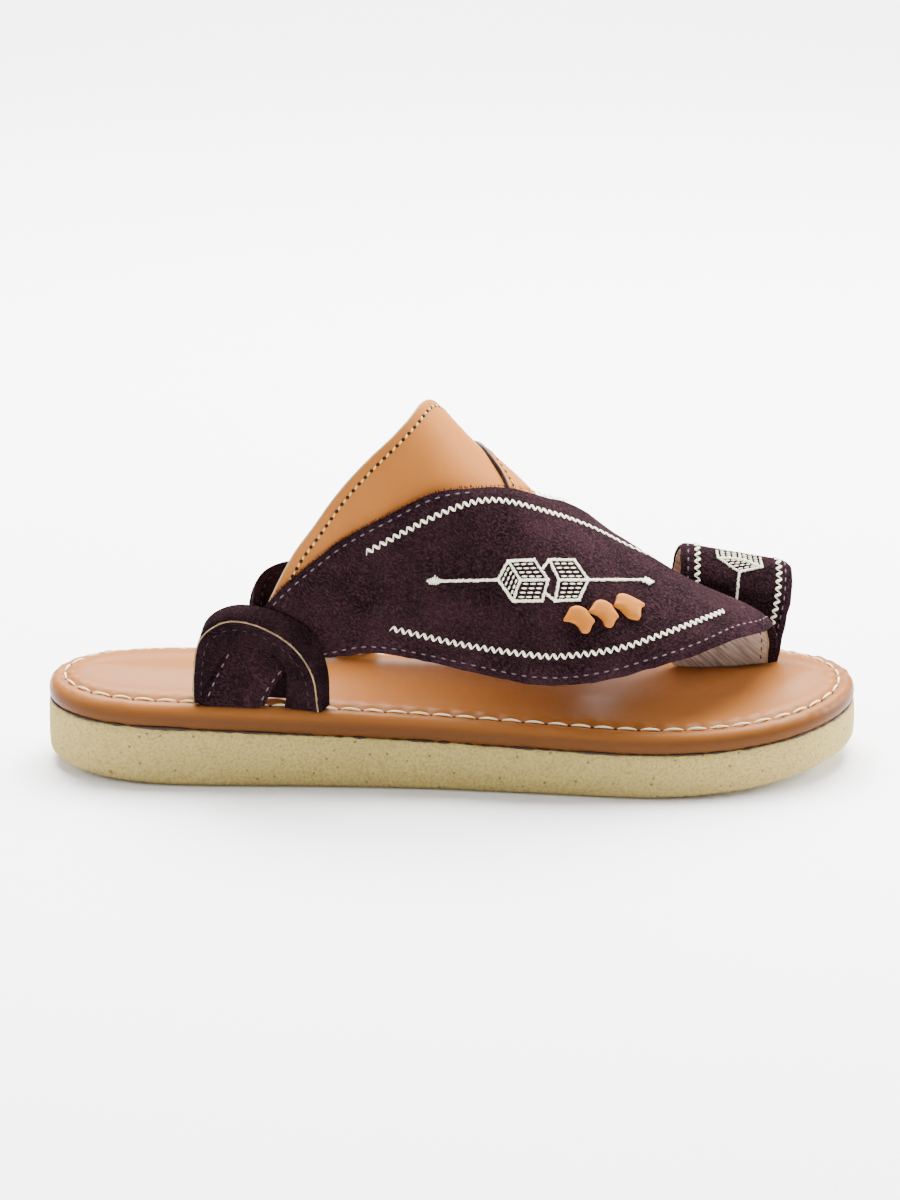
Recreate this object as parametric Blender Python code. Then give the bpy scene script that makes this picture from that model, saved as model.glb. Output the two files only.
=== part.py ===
"""A right-foot slip-on sandal with crossed instep straps, suede wings and a loop for the big toe.

The toe points to +X, the outer side of the foot to -Y, and the sole stands on z = 0.
Sizes in the tables are millimetres and degrees; the meshes are made in metres.
"""

import bisect
import math

import bmesh
import bpy
from mathutils import Vector

MM = 0.001
GAP = 0.3
SEAT_GAP = 0.5
MERGE_DISTANCE = 0.0005
SHARP_DEGREES = 40.0

# Sole: foot length 280 mm, ball about 94 mm wide, heel about 63 mm wide
HALF_LENGTH = 140.5
HEEL_TIP = (-HALF_LENGTH, -3.0)
TOE_TIP = (HALF_LENGTH, 3.5)
SOLE_STATIONS = (
    # x, outer edge y, inner edge y
    (-137.5, -15.5, 9.5),
    (-127.0, -27.0, 21.5),
    (-110.0, -33.2, 28.0),
    (-88.0, -35.2, 30.2),
    (-50.0, -36.0, 29.8),
    (-10.0, -38.0, 33.5),
    (32.0, -43.0, 42.0),
    (70.0, -47.0, 47.0),
    (100.0, -43.0, 44.0),
    (123.5, -30.5, 35.0),
    (137.0, -13.0, 19.5),
)
CURVE_STEPS = 12
SIDE_STEPS = 36
FLAT_X = (-85.0, 58.0)
HEEL_SPRING = 4.0
TOE_SPRING = 7.5
SOLE_TOP = (
    # x, height of the foam's upper face
    (-140.0, 22.6),
    (-115.0, 21.4),
    (-90.0, 20.6),
    (-40.0, 18.6),
    (20.0, 16.6),
    (70.0, 15.8),
    (105.0, 17.2),
    (140.0, 20.5),
)
FOAM_EDGE = (
    # inset from the outline, share of the edge's height
    (2.4, 0.0),
    (0.8, 0.05),
    (0.0, 0.16),
    (0.0, 0.55),
    (0.3, 0.93),
    (1.0, 1.0),
)
INSOLE_EDGE = (
    # inset from the outline, height above the foam
    (1.3, GAP),
    (0.7, 1.4),
    (0.4, 3.2),
    (0.6, 5.0),
    (1.4, 6.7),
    (3.0, 7.9),
    (5.8, 8.8),
    (10.0, 9.8),
)
INSOLE_CROWN = 2.0
CROWN_CELLS = 8
CUSHION = (
    # x, share of the padding's full height
    (-140.0, 1.0),
    (-60.0, 1.04),
    (30.0, 0.96),
    (140.0, 0.84),
)

# Last: elliptical sections over the insole, from the heel end to the toes
LAST_CLEARANCE = 12.0
LAST_SECTIONS = (
    # x, outer side y, ridge y, inner side y, toe cleft y, ridge z
    (-100.0, -22.0, -2.5, 16.0, 16.0, 159.0),
    (-66.0, -22.0, -2.0, 17.0, 17.0, 153.0),
    (-40.0, -25.0, 1.0, 17.8, 17.8, 145.0),
    (-20.0, -29.0, 3.0, 21.0, 21.0, 133.5),
    (-8.0, -32.0, 4.0, 24.8, 24.8, 124.8),
    (6.0, -34.5, 4.5, 30.0, 30.0, 109.8),
    (20.0, -37.0, 5.0, 33.5, 33.5, 96.2),
    (31.0, -38.5, 5.0, 35.5, 35.5, 85.2),
    (51.0, -40.0, 5.0, 37.5, 36.5, 70.2),
    (61.0, -40.0, 4.8, 38.3, 28.0, 65.4),
    (71.0, -39.5, 4.5, 38.5, 16.0, 61.2),
    (82.0, -38.0, 4.5, 38.5, 10.6, 57.0),
    (96.0, -33.5, 4.5, 36.5, 10.0, 50.0),
    (109.0, -26.5, 4.5, 31.5, 10.0, 42.5),
    (120.0, -18.5, 4.5, 25.5, 10.0, 35.0),
)
OUTER_SIDE = -1.0
INNER_SIDE = 1.0
INNER_FORWARD = 15.5

# Crossed instep straps, 1.8 mm leather; the upper one is a step in the wall over the lower one
LOWER_STRAP_THICK = 1.8
UPPER_STRAP_THICK = 2.3
STRAP_CELLS = (26, 8)
LOWER_STRAP = (
    # front edge x and angle, rear edge x and angle, lifts of both, from the outer ear over the ridge
    (-47.0, -83.0, -66.0, -80.0, 0.0, 0.0),
    (-33.0, -78.0, -54.7, -67.5, 0.0, 0.0),
    (-16.0, -73.0, -44.5, -58.5, 0.0, 0.0),
    (5.0, -60.0, -24.6, -38.0, 0.0, 0.0),
    (22.0, -38.0, -15.0, -23.0, 0.0, 0.0),
    (33.0, -18.0, -8.5, -2.0, 0.0, 0.0),
    (45.0, 22.0, 3.0, 27.0, 0.0, 0.0),
    (50.0, 58.0, 15.0, 56.0, 0.0, 0.0),
    (49.0, 76.0, 24.0, 76.0, 0.0, 0.0),
)
UPPER_STRAP = (
    # front edge x and angle, rear edge x and angle, lifts of both, from the inner ear over the ridge
    (-30.0, 83.0, -49.0, 80.0, 0.0, 0.0),
    (-16.0, 78.0, -38.0, 67.5, 0.0, 0.0),
    (1.0, 73.0, -27.5, 58.5, 0.0, 0.0),
    (20.0, 58.0, -7.0, 38.0, 0.5, 0.3),
    (32.0, 36.0, 3.5, 22.0, 0.9, 0.9),
    (39.0, 14.0, 10.0, 0.0, 0.9, 0.9),
    (46.0, -18.0, 17.0, -15.0, 0.9, 0.9),
    (48.0, -46.0, 22.0, -44.0, 0.9, 0.9),
    (44.0, -76.0, 19.0, -80.0, 0.9, 0.9),
)

# Suede wings, 2.2 mm, over the straps
WING_THICK = 2.2
WING_CELLS = (44, 10)
TAIL_ROWS = 7
INNER_WING_LIFT = 2.7
OUTER_WING = (
    # lower edge x and angle, upper edge x and angle, lift of the lower and the upper edge
    (-65.0, -93.0, -86.2, -92.6, 9.0, 9.0),
    (-61.5, -89.2, -83.0, -88.8, 8.4, 8.4),
    (-57.0, -86.2, -79.0, -85.2, 6.0, 6.0),
    (-53.0, -84.4, -75.5, -82.4, 3.8, 3.8),
    (-49.5, -83.6, -71.0, -80.0, 2.4, 2.4),
    (-45.5, -83.2, -65.5, -77.6, 2.1, 2.1),
    (-41.0, -83.0, -59.7, -73.8, 2.1, 2.1),
    (-25.5, -80.8, -40.8, -63.7, 2.1, 2.1),
    (-7.0, -80.2, -17.5, -50.5, 2.3, 2.3),
    (10.0, -79.8, 1.0, -35.2, 3.2, 3.2),
    (26.5, -79.3, 15.7, -20.3, 3.6, 3.9),
    (42.5, -76.0, 28.5, -5.0, 3.6, 5.6),
    (62.0, -66.8, 43.0, 20.0, 2.8, 7.2),
    (82.0, -52.6, 58.0, 50.0, 2.0, 6.2),
    (96.0, -35.0, 69.0, 74.0, 2.7, 1.6),
    (107.0, -13.0, 75.0, 84.0, 3.4, 0.5),
    (112.4, 40.0, 77.0, 88.0, 0.6, 0.5),
    (112.6, 93.0, 78.0, 93.0, 0.5, 0.5),
)
INNER_WING = (
    # the rows ahead of the tail, which mirrors the outer one: edges and lifts as above
    (-8.0, 80.5, -23.7, 63.5, 2.8, 2.8),
    (10.0, 80.0, -1.0, 50.0, 3.4, 3.4),
    (27.0, 78.0, 16.0, 35.0, 3.5, 3.5),
    (41.0, 69.0, 29.0, 22.0, 3.5, 3.5),
    (48.0, 51.0, 36.0, 15.0, 3.5, 3.5),
    (49.0, 35.0, 40.0, 12.0, 3.5, 3.5),
)

# Ears: suede tabs on the footbed's edge, each a shallow hood with a slot for a wing's tail
EAR_THICK = 2.4
EAR_ROOT_LIFT = 5.2
EAR_RIM_LIFT = 9.8
EAR_STEPS = 28
RIM, ROOT, SLOT = 0, 2, 4
EAR_ARCH = (
    # rim x and z, root x and z, slot x and z, from the front leg over the top to the rear leg
    (-44.0, 27.0, -41.0, 27.0, -55.6, 27.0),
    (-46.0, 40.0, -41.8, 42.0, -54.8, 39.0),
    (-53.0, 50.0, -47.5, 54.0, -57.8, 45.8),
    (-66.0, 57.0, -61.0, 61.0, -66.0, 49.0),
    (-77.0, 58.0, -74.0, 62.5, -73.5, 49.0),
    (-85.5, 52.0, -83.5, 57.0, -79.2, 44.2),
    (-88.0, 40.0, -86.5, 43.0, -83.4, 36.0),
    (-88.3, 27.0, -87.0, 27.0, -87.3, 27.0),
)

# Toe loop: a band over the big toe
LOOP_THICK = 2.4
LOOP_CELLS = (26, 7)
LOOP_ARCH = (
    # front edge x, y, z and rear edge x, y, z, from the toe cleft over the toe to the inner edge
    (113.5, 13.2, 24.0, 79.5, 14.4, 24.0),
    (115.7, 13.2, 38.0, 79.8, 14.4, 41.0),
    (118.2, 14.6, 52.5, 80.3, 15.6, 58.8),
    (118.7, 25.0, 61.6, 80.7, 26.0, 68.2),
    (115.0, 36.0, 55.0, 79.2, 38.0, 60.6),
    (110.5, 39.4, 40.0, 77.4, 42.0, 42.0),
    (108.5, 38.4, 24.0, 76.5, 41.5, 24.0),
)

# Three leather waves sewn on the outer wing
WAVE_OUTLINE = (
    # forward and upward from the wave's middle
    (-4.9, -0.1),
    (-3.5, 2.4),
    (-2.3, 4.1),
    (0.2, 4.5),
    (2.7, 3.0),
    (5.4, -0.5),
    (3.9, -3.3),
    (2.7, -4.6),
    (0.7, -4.4),
    (-1.3, -2.2),
)
WAVE_PROFILE = (
    # share of the outline, height above the suede
    (0.0, GAP),
    (1.0, GAP),
    (1.0, 0.9),
    (0.82, 1.9),
    (0.4, 2.3),
    (0.0, 2.4),
)
WAVE_STEPS = 24
SLIDE_ROUNDS = 8
WAVES = (
    # along and across the wing's own grid, turn upward in degrees
    (0.5955, 0.292, 0.0),
    (0.6345, 0.296, -4.0),
    (0.682, 0.290, 6.0),
)

FINISHES = {
    # red, green, blue, roughness
    "foam_rubber": (0.56, 0.47, 0.30, 0.9),
    "smooth_leather_footbed": (0.50, 0.22, 0.08, 0.45),
    "smooth_leather": (0.50, 0.22, 0.08, 0.45),
    "suede": (0.045, 0.022, 0.032, 0.95),
    "padded_leather": (0.62, 0.30, 0.13, 0.5),
}


def through(knots, values, at):
    """Read a smooth curve that passes through the given values at the given knots."""
    at = min(max(at, knots[0]), knots[-1])
    k = min(max(bisect.bisect_right(knots, at) - 1, 0), len(knots) - 2)

    def slope(i):
        low, high = max(i - 1, 0), min(i + 1, len(knots) - 1)
        return (values[high] - values[low]) / (knots[high] - knots[low])

    span = knots[k + 1] - knots[k]
    t = (at - knots[k]) / span
    start, end = slope(k) * span, slope(k + 1) * span
    rise = values[k + 1] - values[k]
    return values[k] + t * (start + t * (3 * rise - 2 * start - end + t * (start + end - 2 * rise)))


def column(table, index):
    return [row[index] for row in table]


def mix(a, b, share):
    return a + (b - a) * share


def closed_curve(points, steps):
    """Sample a smooth closed curve through flat points, with the given steps between neighbours."""
    count = len(points)
    samples = []
    for i in range(count):
        a, b, c, d = [Vector(points[(i + k) % count]) for k in (-1, 0, 1, 2)]
        ta = 0.0
        tb = ta + math.sqrt((b - a).length)
        tc = tb + math.sqrt((c - b).length)
        td = tc + math.sqrt((d - c).length)
        for step in range(steps):
            t = mix(tb, tc, step / steps)
            ab = a.lerp(b, (t - ta) / (tb - ta))
            bc = b.lerp(c, (t - tb) / (tc - tb))
            cd = c.lerp(d, (t - tc) / (td - tc))
            abc = ab.lerp(bc, (t - ta) / (tc - ta))
            bcd = bc.lerp(cd, (t - tb) / (td - tb))
            samples.append(abc.lerp(bcd, (t - tb) / (tc - tb)))
    return samples


def evenly(points, steps):
    """Resample an open run of points into equal steps."""
    reach = [0.0]
    for a, b in zip(points, points[1:]):
        reach.append(reach[-1] + (b - a).length)
    picked = []
    for step in range(steps + 1):
        at = reach[-1] * step / steps
        k = min(max(bisect.bisect_right(reach, at) - 1, 0), len(points) - 2)
        picked.append(points[k].lerp(points[k + 1], (at - reach[k]) / (reach[k + 1] - reach[k])))
    return picked


def sole_outline():
    """The foot's outline: the outer side from heel to toe, then the inner side back to the heel."""
    outer = [(x, y) for x, y, _ in SOLE_STATIONS]
    inner = [(x, y) for x, _, y in reversed(SOLE_STATIONS)]
    dense = closed_curve([HEEL_TIP, *outer, TOE_TIP, *inner], CURVE_STEPS)
    toe = CURVE_STEPS * (len(outer) + 1)
    outer_side = evenly(dense[: toe + 1], SIDE_STEPS)
    inner_side = evenly(dense[toe:] + dense[:1], SIDE_STEPS)
    return outer_side[:-1] + inner_side[:-1]


OUTLINE = sole_outline()


def inset_outline(inset):
    """The outline moved inwards."""
    ring = []
    for i, point in enumerate(OUTLINE):
        run = OUTLINE[(i + 1) % len(OUTLINE)] - OUTLINE[i - 1]
        ring.append(point + Vector((-run.y, run.x)).normalized() * inset)
    return ring


def sole_top(x):
    return through(column(SOLE_TOP, 0), column(SOLE_TOP, 1), x)


def sole_bottom(x):
    """Flat under heel and ball, rising to the heel's end and to the toe."""
    heel, ball = FLAT_X
    if x < heel:
        return HEEL_SPRING * ((heel - x) / (heel + HALF_LENGTH)) ** 2
    return TOE_SPRING * max(0.0, (x - ball) / (HALF_LENGTH - ball)) ** 2


def cushion(x):
    return through(column(CUSHION, 0), column(CUSHION, 1), x)


def inset_at(x, y):
    """How far a point of the plan lies inside the outline."""
    here = Vector((x, y))
    nearest = math.inf
    for a, b in zip(OUTLINE, OUTLINE[1:] + OUTLINE[:1]):
        run = b - a
        share = min(max((here - a).dot(run) / run.dot(run), 0.0), 1.0)
        nearest = min(nearest, (here - a - run * share).length)
    return nearest


def insole_top(x, y):
    """Height of the footbed's upper face."""
    upper = INSOLE_EDGE[2:]
    inset = inset_at(x, y)
    lip = upper[-1][0]
    height = through(column(upper, 0), column(upper, 1), inset)
    height += INSOLE_CROWN * min(1.0, max(0.0, inset - lip) / (2 * lip))
    return sole_top(x) + height * cushion(x)


def last_point(x, angle, cleft):
    """A point of the last: angle -90 is the outer side, 0 the ridge, 90 the inner side or the toe cleft."""
    knots = column(LAST_SECTIONS, 0)
    outer, ridge, inner, fold, top = [through(knots, column(LAST_SECTIONS, k), x) for k in range(1, 6)]
    base = sole_top(x) + LAST_CLEARANCE
    turn = math.radians(angle)
    if angle < 0:
        reach = ridge - outer
    else:
        reach = (fold if cleft else inner) - ridge
    return Vector((x, ridge + reach * math.sin(turn), base + (top - base) * math.cos(turn)))


def over_last(x, angle, lift, cleft=False):
    """A point at a height over the last, along its normal."""
    step = 0.05
    across = last_point(x, angle + step, cleft) - last_point(x, angle - step, cleft)
    along = last_point(x + step, angle, cleft) - last_point(x - step, angle, cleft)
    return last_point(x, angle, cleft) + along.cross(across).normalized() * lift


def angle_at(x, z, side):
    """The section angle at which the last's side has a given height."""
    base = sole_top(x) + LAST_CLEARANCE
    top = through(column(LAST_SECTIONS, 0), column(LAST_SECTIONS, 5), x)
    return side * math.degrees(math.acos((z - base) / (top - base)))


def run_lengths(rows, middle):
    """Distances along a table's rows, measured between the rows' middles, from 0 to 1."""
    reach = [0.0]
    for a, b in zip(rows, rows[1:]):
        reach.append(reach[-1] + (middle(b) - middle(a)).length)
    return [distance / reach[-1] for distance in reach]


def strap_sheet(rows, cleft=False):
    """A leather sheet over the last; each row gives the place and the lift of its two edges."""

    def middle(row):
        return over_last(mix(row[0], row[2], 0.5), mix(row[1], row[3], 0.5), row[4], cleft)

    knots = run_lengths(rows, middle)

    def place(along, across, out):
        ax, aa, bx, ba, al, bl = [through(knots, column(rows, k), along) for k in range(6)]
        return over_last(mix(ax, bx, across), mix(aa, ba, across), mix(al, bl, across) + out, cleft)

    return place


def arch_sheet(near, far, axis, thickness):
    """A band between two edge curves that arch over an axis; its thickness goes towards that axis."""
    rows = list(zip(near, far))
    knots = run_lengths(rows, lambda row: row[0].lerp(row[1], 0.5))

    def face(along, across):
        a, b = [
            Vector([through(knots, [row[edge][k] for row in rows], along) for k in range(3)])
            for edge in (0, 1)
        ]
        return a.lerp(b, across)

    def place(along, across, out):
        step = 0.004
        run = face(min(along + step, 1.0), across) - face(max(along - step, 0.0), across)
        return face(along, across) + run.cross(axis).normalized() * (thickness - out)

    return place


def seat(point):
    """Keep a point just clear of the footbed."""
    return Vector((point.x, point.y, max(point.z, insole_top(point.x, point.y) + SEAT_GAP)))


def finish(name, bm, material):
    """Turn a bmesh in millimetres into a named object in metres, smooth over its round faces."""
    bmesh.ops.remove_doubles(bm, verts=bm.verts, dist=MERGE_DISTANCE)
    bmesh.ops.dissolve_degenerate(bm, edges=bm.edges, dist=MERGE_DISTANCE)
    bmesh.ops.recalc_face_normals(bm, faces=bm.faces)
    bmesh.ops.scale(bm, vec=(MM, MM, MM), verts=bm.verts)
    mesh = bpy.data.meshes.new(name)
    bm.to_mesh(mesh)
    bm.free()
    mesh.materials.append(material)
    mesh.shade_smooth()
    mesh.set_sharp_from_angle(angle=math.radians(SHARP_DEGREES))
    piece = bpy.data.objects.new(name, mesh)
    bpy.context.scene.collection.objects.link(piece)
    return piece


def add_grid(bm, cells, place):
    """Lay a grid of cells where a function of its two shares puts it."""
    grid = bmesh.ops.create_grid(bm, x_segments=cells[0], y_segments=cells[1], size=0.5)
    for vert in grid["verts"]:
        vert.co = place(vert.co.x + 0.5, vert.co.y + 0.5)


def add_rings(bm, rings):
    """Skin a run of closed rings that have the same number of points."""
    count = len(rings[0])

    def place(around, along):
        return rings[round(along * (len(rings) - 1))][round(around * count) % count]

    add_grid(bm, (count, len(rings) - 1), place)


def add_cap(bm, ring, cells, height):
    """Close a sole-shaped ring with a grid from its outer to its inner side."""

    def place(along, across):
        step = round(along * SIDE_STEPS)
        outer, inner = ring[step], ring[-step % len(ring)]
        point = outer.lerp(inner, across)
        return Vector((point.x, point.y, point.z + height(across, point.x, (inner - outer).length)))

    add_grid(bm, (SIDE_STEPS, cells), place)


def leather(name, place, thickness, cells, material):
    """A closed sheet: two faces joined around the rim, seated on the footbed where it reaches it."""
    bm = bmesh.new()
    for out in (thickness, 0.0):
        add_grid(bm, cells, lambda along, across: seat(place(along, across, out)))
    rim = [edge for edge in bm.edges if edge.is_boundary]
    bmesh.ops.bridge_loops(bm, edges=rim)
    return finish(name, bm, material)


def finish_of(name):
    red, green, blue, roughness = FINISHES[name]
    material = bpy.data.materials.new(name)
    material.use_nodes = True
    shader = material.node_tree.nodes["Principled BSDF"]
    shader.inputs["Base Color"].default_value = (red, green, blue, 1.0)
    shader.inputs["Roughness"].default_value = roughness
    shader.inputs["Metallic"].default_value = 0.0
    return material


def outsole():
    bm = bmesh.new()
    rings = []
    for inset, share in FOAM_EDGE:
        rings.append([
            Vector((p.x, p.y, mix(sole_bottom(p.x), sole_top(p.x), share))) for p in inset_outline(inset)
        ])
    add_rings(bm, rings)
    for ring in (rings[0], rings[-1]):
        add_cap(bm, ring, 1, lambda across, x, width: 0.0)
    return finish("outsole", bm, finish_of("foam_rubber"))


def insole():
    bm = bmesh.new()
    rings = []
    for inset, height in INSOLE_EDGE:
        rings.append([
            Vector((p.x, p.y, sole_top(p.x) + max(GAP, height * cushion(p.x)))) for p in inset_outline(inset)
        ])
    add_rings(bm, rings)
    add_cap(bm, rings[0], 1, lambda across, x, width: 0.0)
    full = 2 * INSOLE_EDGE[-1][0]
    add_cap(bm, rings[-1], CROWN_CELLS, lambda across, x, width: INSOLE_CROWN * cushion(x) * min(
        1.0, width * min(across, 1.0 - across) / full))
    return finish("insole", bm, finish_of("smooth_leather_footbed"))


def instep_straps():
    material = finish_of("smooth_leather")
    lower = leather(
        "instep_straps", strap_sheet(LOWER_STRAP), LOWER_STRAP_THICK, STRAP_CELLS, material)
    upper = leather(
        "upper_strap", strap_sheet(UPPER_STRAP), UPPER_STRAP_THICK, STRAP_CELLS, material)
    upper.hide_render = True
    upper.display_type = "WIRE"
    sewn = lower.modifiers.new("sewn_crossing", "BOOLEAN")
    sewn.operation = "UNION"
    sewn.solver = "EXACT"
    sewn.object = upper
    return lower


def wings():
    outer = strap_sheet(OUTER_WING, cleft=True)
    tail = [
        (ax + INNER_FORWARD, -aa, bx + INNER_FORWARD, -ba, max(al, INNER_WING_LIFT), max(bl, INNER_WING_LIFT))
        for ax, aa, bx, ba, al, bl in OUTER_WING[:TAIL_ROWS]
    ]
    inner = strap_sheet((*tail, *INNER_WING))
    leather("wing_outer", outer, WING_THICK, WING_CELLS, finish_of("suede"))
    leather("wing_inner", inner, WING_THICK, WING_CELLS, finish_of("suede"))
    return outer


def ear(name, side):
    """A hood from its root to its rim, and a face from the rim to the slot, swept over the arch."""
    shift = INNER_FORWARD if side == INNER_SIDE else 0.0
    knots = run_lengths(EAR_ARCH, lambda row: Vector(row[RIM:ROOT]))

    def flat(line, along):
        return Vector([through(knots, column(EAR_ARCH, line + k), along) for k in range(2)])

    def corner(line, along, lift, inward=0.0):
        step = 0.004
        run = (flat(line, min(along + step, 1.0)) - flat(line, max(along - step, 0.0))).normalized()
        x, z = flat(line, along) + Vector((-run.y, run.x)) * inward
        return seat(over_last(x + shift, angle_at(x + shift, z, side), lift))

    back = EAR_RIM_LIFT - EAR_THICK
    rings = []
    for step in range(EAR_STEPS + 1):
        along = step / EAR_STEPS
        rings.append([
            corner(ROOT, along, EAR_ROOT_LIFT),
            corner(RIM, along, EAR_RIM_LIFT),
            corner(SLOT, along, EAR_RIM_LIFT),
            corner(SLOT, along, back),
            corner(RIM, along, back, EAR_THICK),
            corner(ROOT, along, EAR_ROOT_LIFT, EAR_THICK),
        ])
    bm = bmesh.new()
    add_rings(bm, rings)
    bmesh.ops.remove_doubles(bm, verts=bm.verts, dist=MERGE_DISTANCE)
    bmesh.ops.holes_fill(bm, edges=[edge for edge in bm.edges if edge.is_boundary])
    return finish(name, bm, finish_of("suede"))


def toe_loop():
    front = [Vector(row[:3]) for row in LOOP_ARCH]
    rear = [Vector(row[3:]) for row in LOOP_ARCH]
    toe = Vector((1.0, 0.0, 0.0))
    band = arch_sheet(front, rear, toe, LOOP_THICK)
    return leather("toe_loop", band, LOOP_THICK, LOOP_CELLS, finish_of("suede"))


def wave(name, wing, along, across, turn):
    """A small padded leather wave that lies on the wing's face."""
    step = 0.01

    def slopes(a, b):
        here = wing(a, b, WING_THICK)
        run = (wing(a + step, b, WING_THICK) - here) / step
        width = (wing(a, b + step, WING_THICK) - here) / step
        return here, run, width

    middle, run, width = slopes(along, across)
    outward = run.cross(width).normalized()
    toe = Vector((1.0, 0.0, 0.0))
    level = (toe - outward * toe.dot(outward)).normalized()
    tilt = math.radians(turn)
    forward = level * math.cos(tilt) + outward.cross(level) * math.sin(tilt)
    upward = outward.cross(forward)
    outline = closed_curve(WAVE_OUTLINE, CURVE_STEPS)
    outline = evenly(outline + outline[:1], WAVE_STEPS)[:-1]

    def on_wing(flat, height):
        """Slide a point of the wave along the wing's face."""
        a, b = along, across
        target = middle + forward * flat.x + upward * flat.y
        for _ in range(SLIDE_ROUNDS):
            here, run, width = slopes(a, b)
            miss = target - here
            a += miss.dot(run) / run.dot(run)
            b += miss.dot(width) / width.dot(width)
        return wing(a, b, WING_THICK + height)

    bm = bmesh.new()
    add_rings(bm, [[on_wing(point * share, height) for point in outline] for share, height in WAVE_PROFILE])
    return finish(name, bm, finish_of("padded_leather"))


def build():
    for existing in list(bpy.data.objects):
        bpy.data.objects.remove(existing, do_unlink=True)
    outsole()
    insole()
    instep_straps()
    wing = wings()
    ear("ear_outer", OUTER_SIDE)
    ear("ear_inner", INNER_SIDE)
    toe_loop()
    for number, (along, across, turn) in enumerate(WAVES, start=1):
        wave(f"applique_{number}", wing, along, across, turn)


build()
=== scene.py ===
"""Looks of a right-foot slip-on sandal: its foam, leather, suede and thread, and the stage around it.

The toe points to +X, the outer side of the foot to -Y, and the sole stands on z = 0. Sizes in the tables are
millimetres and degrees, with the same outlines as the solids; the meshes are made in metres.
"""

import bisect
import functools
import math
import random

import bmesh
import bpy
from mathutils import Matrix, Vector, noise
from mathutils.bvhtree import BVHTree


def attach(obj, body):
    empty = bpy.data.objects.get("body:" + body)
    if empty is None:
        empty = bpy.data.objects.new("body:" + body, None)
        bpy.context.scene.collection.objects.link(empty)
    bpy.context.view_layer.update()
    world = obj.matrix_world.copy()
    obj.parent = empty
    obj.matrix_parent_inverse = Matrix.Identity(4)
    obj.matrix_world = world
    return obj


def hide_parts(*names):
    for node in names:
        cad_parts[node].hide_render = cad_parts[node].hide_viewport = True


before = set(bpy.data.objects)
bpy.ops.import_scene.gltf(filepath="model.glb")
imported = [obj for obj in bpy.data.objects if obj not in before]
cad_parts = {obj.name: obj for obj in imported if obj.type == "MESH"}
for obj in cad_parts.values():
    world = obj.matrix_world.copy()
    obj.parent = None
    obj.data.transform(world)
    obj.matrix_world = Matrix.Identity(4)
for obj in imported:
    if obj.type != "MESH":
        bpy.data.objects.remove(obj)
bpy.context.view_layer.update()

bl_info = {
    "name": "Slip-on sandal looks",
    "version": (1, 0, 0),
    "blender": (4, 5, 0),
    "location": "View3D > Sidebar > Sandal",
    "description": "Dresses the packed sandal in foam, tan leather, plum suede and thread",
    "category": "Object",
}

MM = 0.001
BODY = "root"
GAP = 0.3
SEAT_GAP = 0.5
MERGE_DISTANCE = 0.0005
SHARP_DEGREES = 50.0

# Camera: it looks square at the shoe's outer side, from a little above; the photo is 900 by 1200 pixels
IMAGE_SIZE = (900, 1200)
CAMERA_ELEVATION = 18.5
CAMERA_DISTANCE = 1100.0
CAMERA_TARGET = (-1.0, -2.5, 56.5)
FOCAL_PIXELS = 3190.0
SENSOR = 36.0

# Sole: 281 mm long, the ball 94 mm wide, the heel about 65 mm wide
HALF_LENGTH = 140.5
HEEL_TIP = (-HALF_LENGTH, -3.0)
TOE_TIP = (HALF_LENGTH, 3.5)
SOLE_STATIONS = (
    # x, outer edge y, inner edge y
    (-137.5, -15.5, 9.5),
    (-127.0, -27.0, 21.5),
    (-110.0, -33.2, 28.0),
    (-88.0, -35.2, 30.2),
    (-50.0, -36.0, 29.8),
    (-10.0, -38.0, 33.5),
    (32.0, -43.0, 42.0),
    (70.0, -47.0, 47.0),
    (100.0, -43.0, 44.0),
    (123.5, -30.5, 35.0),
    (137.0, -13.0, 19.5),
)
CURVE_STEPS = 12
SIDE_STEPS = 240
FLAT_X = (-85.0, 58.0)
HEEL_SPRING = 4.0
TOE_SPRING = 7.5
SOLE_TOP = (
    # x, height of the foam's upper face
    (-140.0, 22.6),
    (-115.0, 21.4),
    (-90.0, 20.6),
    (-40.0, 18.6),
    (20.0, 16.6),
    (70.0, 15.8),
    (105.0, 17.2),
    (140.0, 20.5),
)
FOAM_EDGE = (
    # inset from the outline, share of the edge's height
    (2.4, 0.0),
    (0.8, 0.05),
    (0.0, 0.16),
    (0.0, 0.55),
    (0.3, 0.93),
    (1.0, 1.0),
)
INSOLE_EDGE = (
    # inset from the outline, height above the foam
    (1.3, GAP),
    (0.7, 1.4),
    (0.4, 3.2),
    (0.6, 5.0),
    (1.4, 6.7),
    (3.0, 7.9),
    (5.8, 8.8),
    (10.0, 9.8),
)
INSOLE_CROWN = 2.0
CUSHION = (
    # x, share of the padding's full height
    (-140.0, 1.0),
    (-60.0, 1.04),
    (30.0, 0.96),
    (140.0, 0.84),
)

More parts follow.
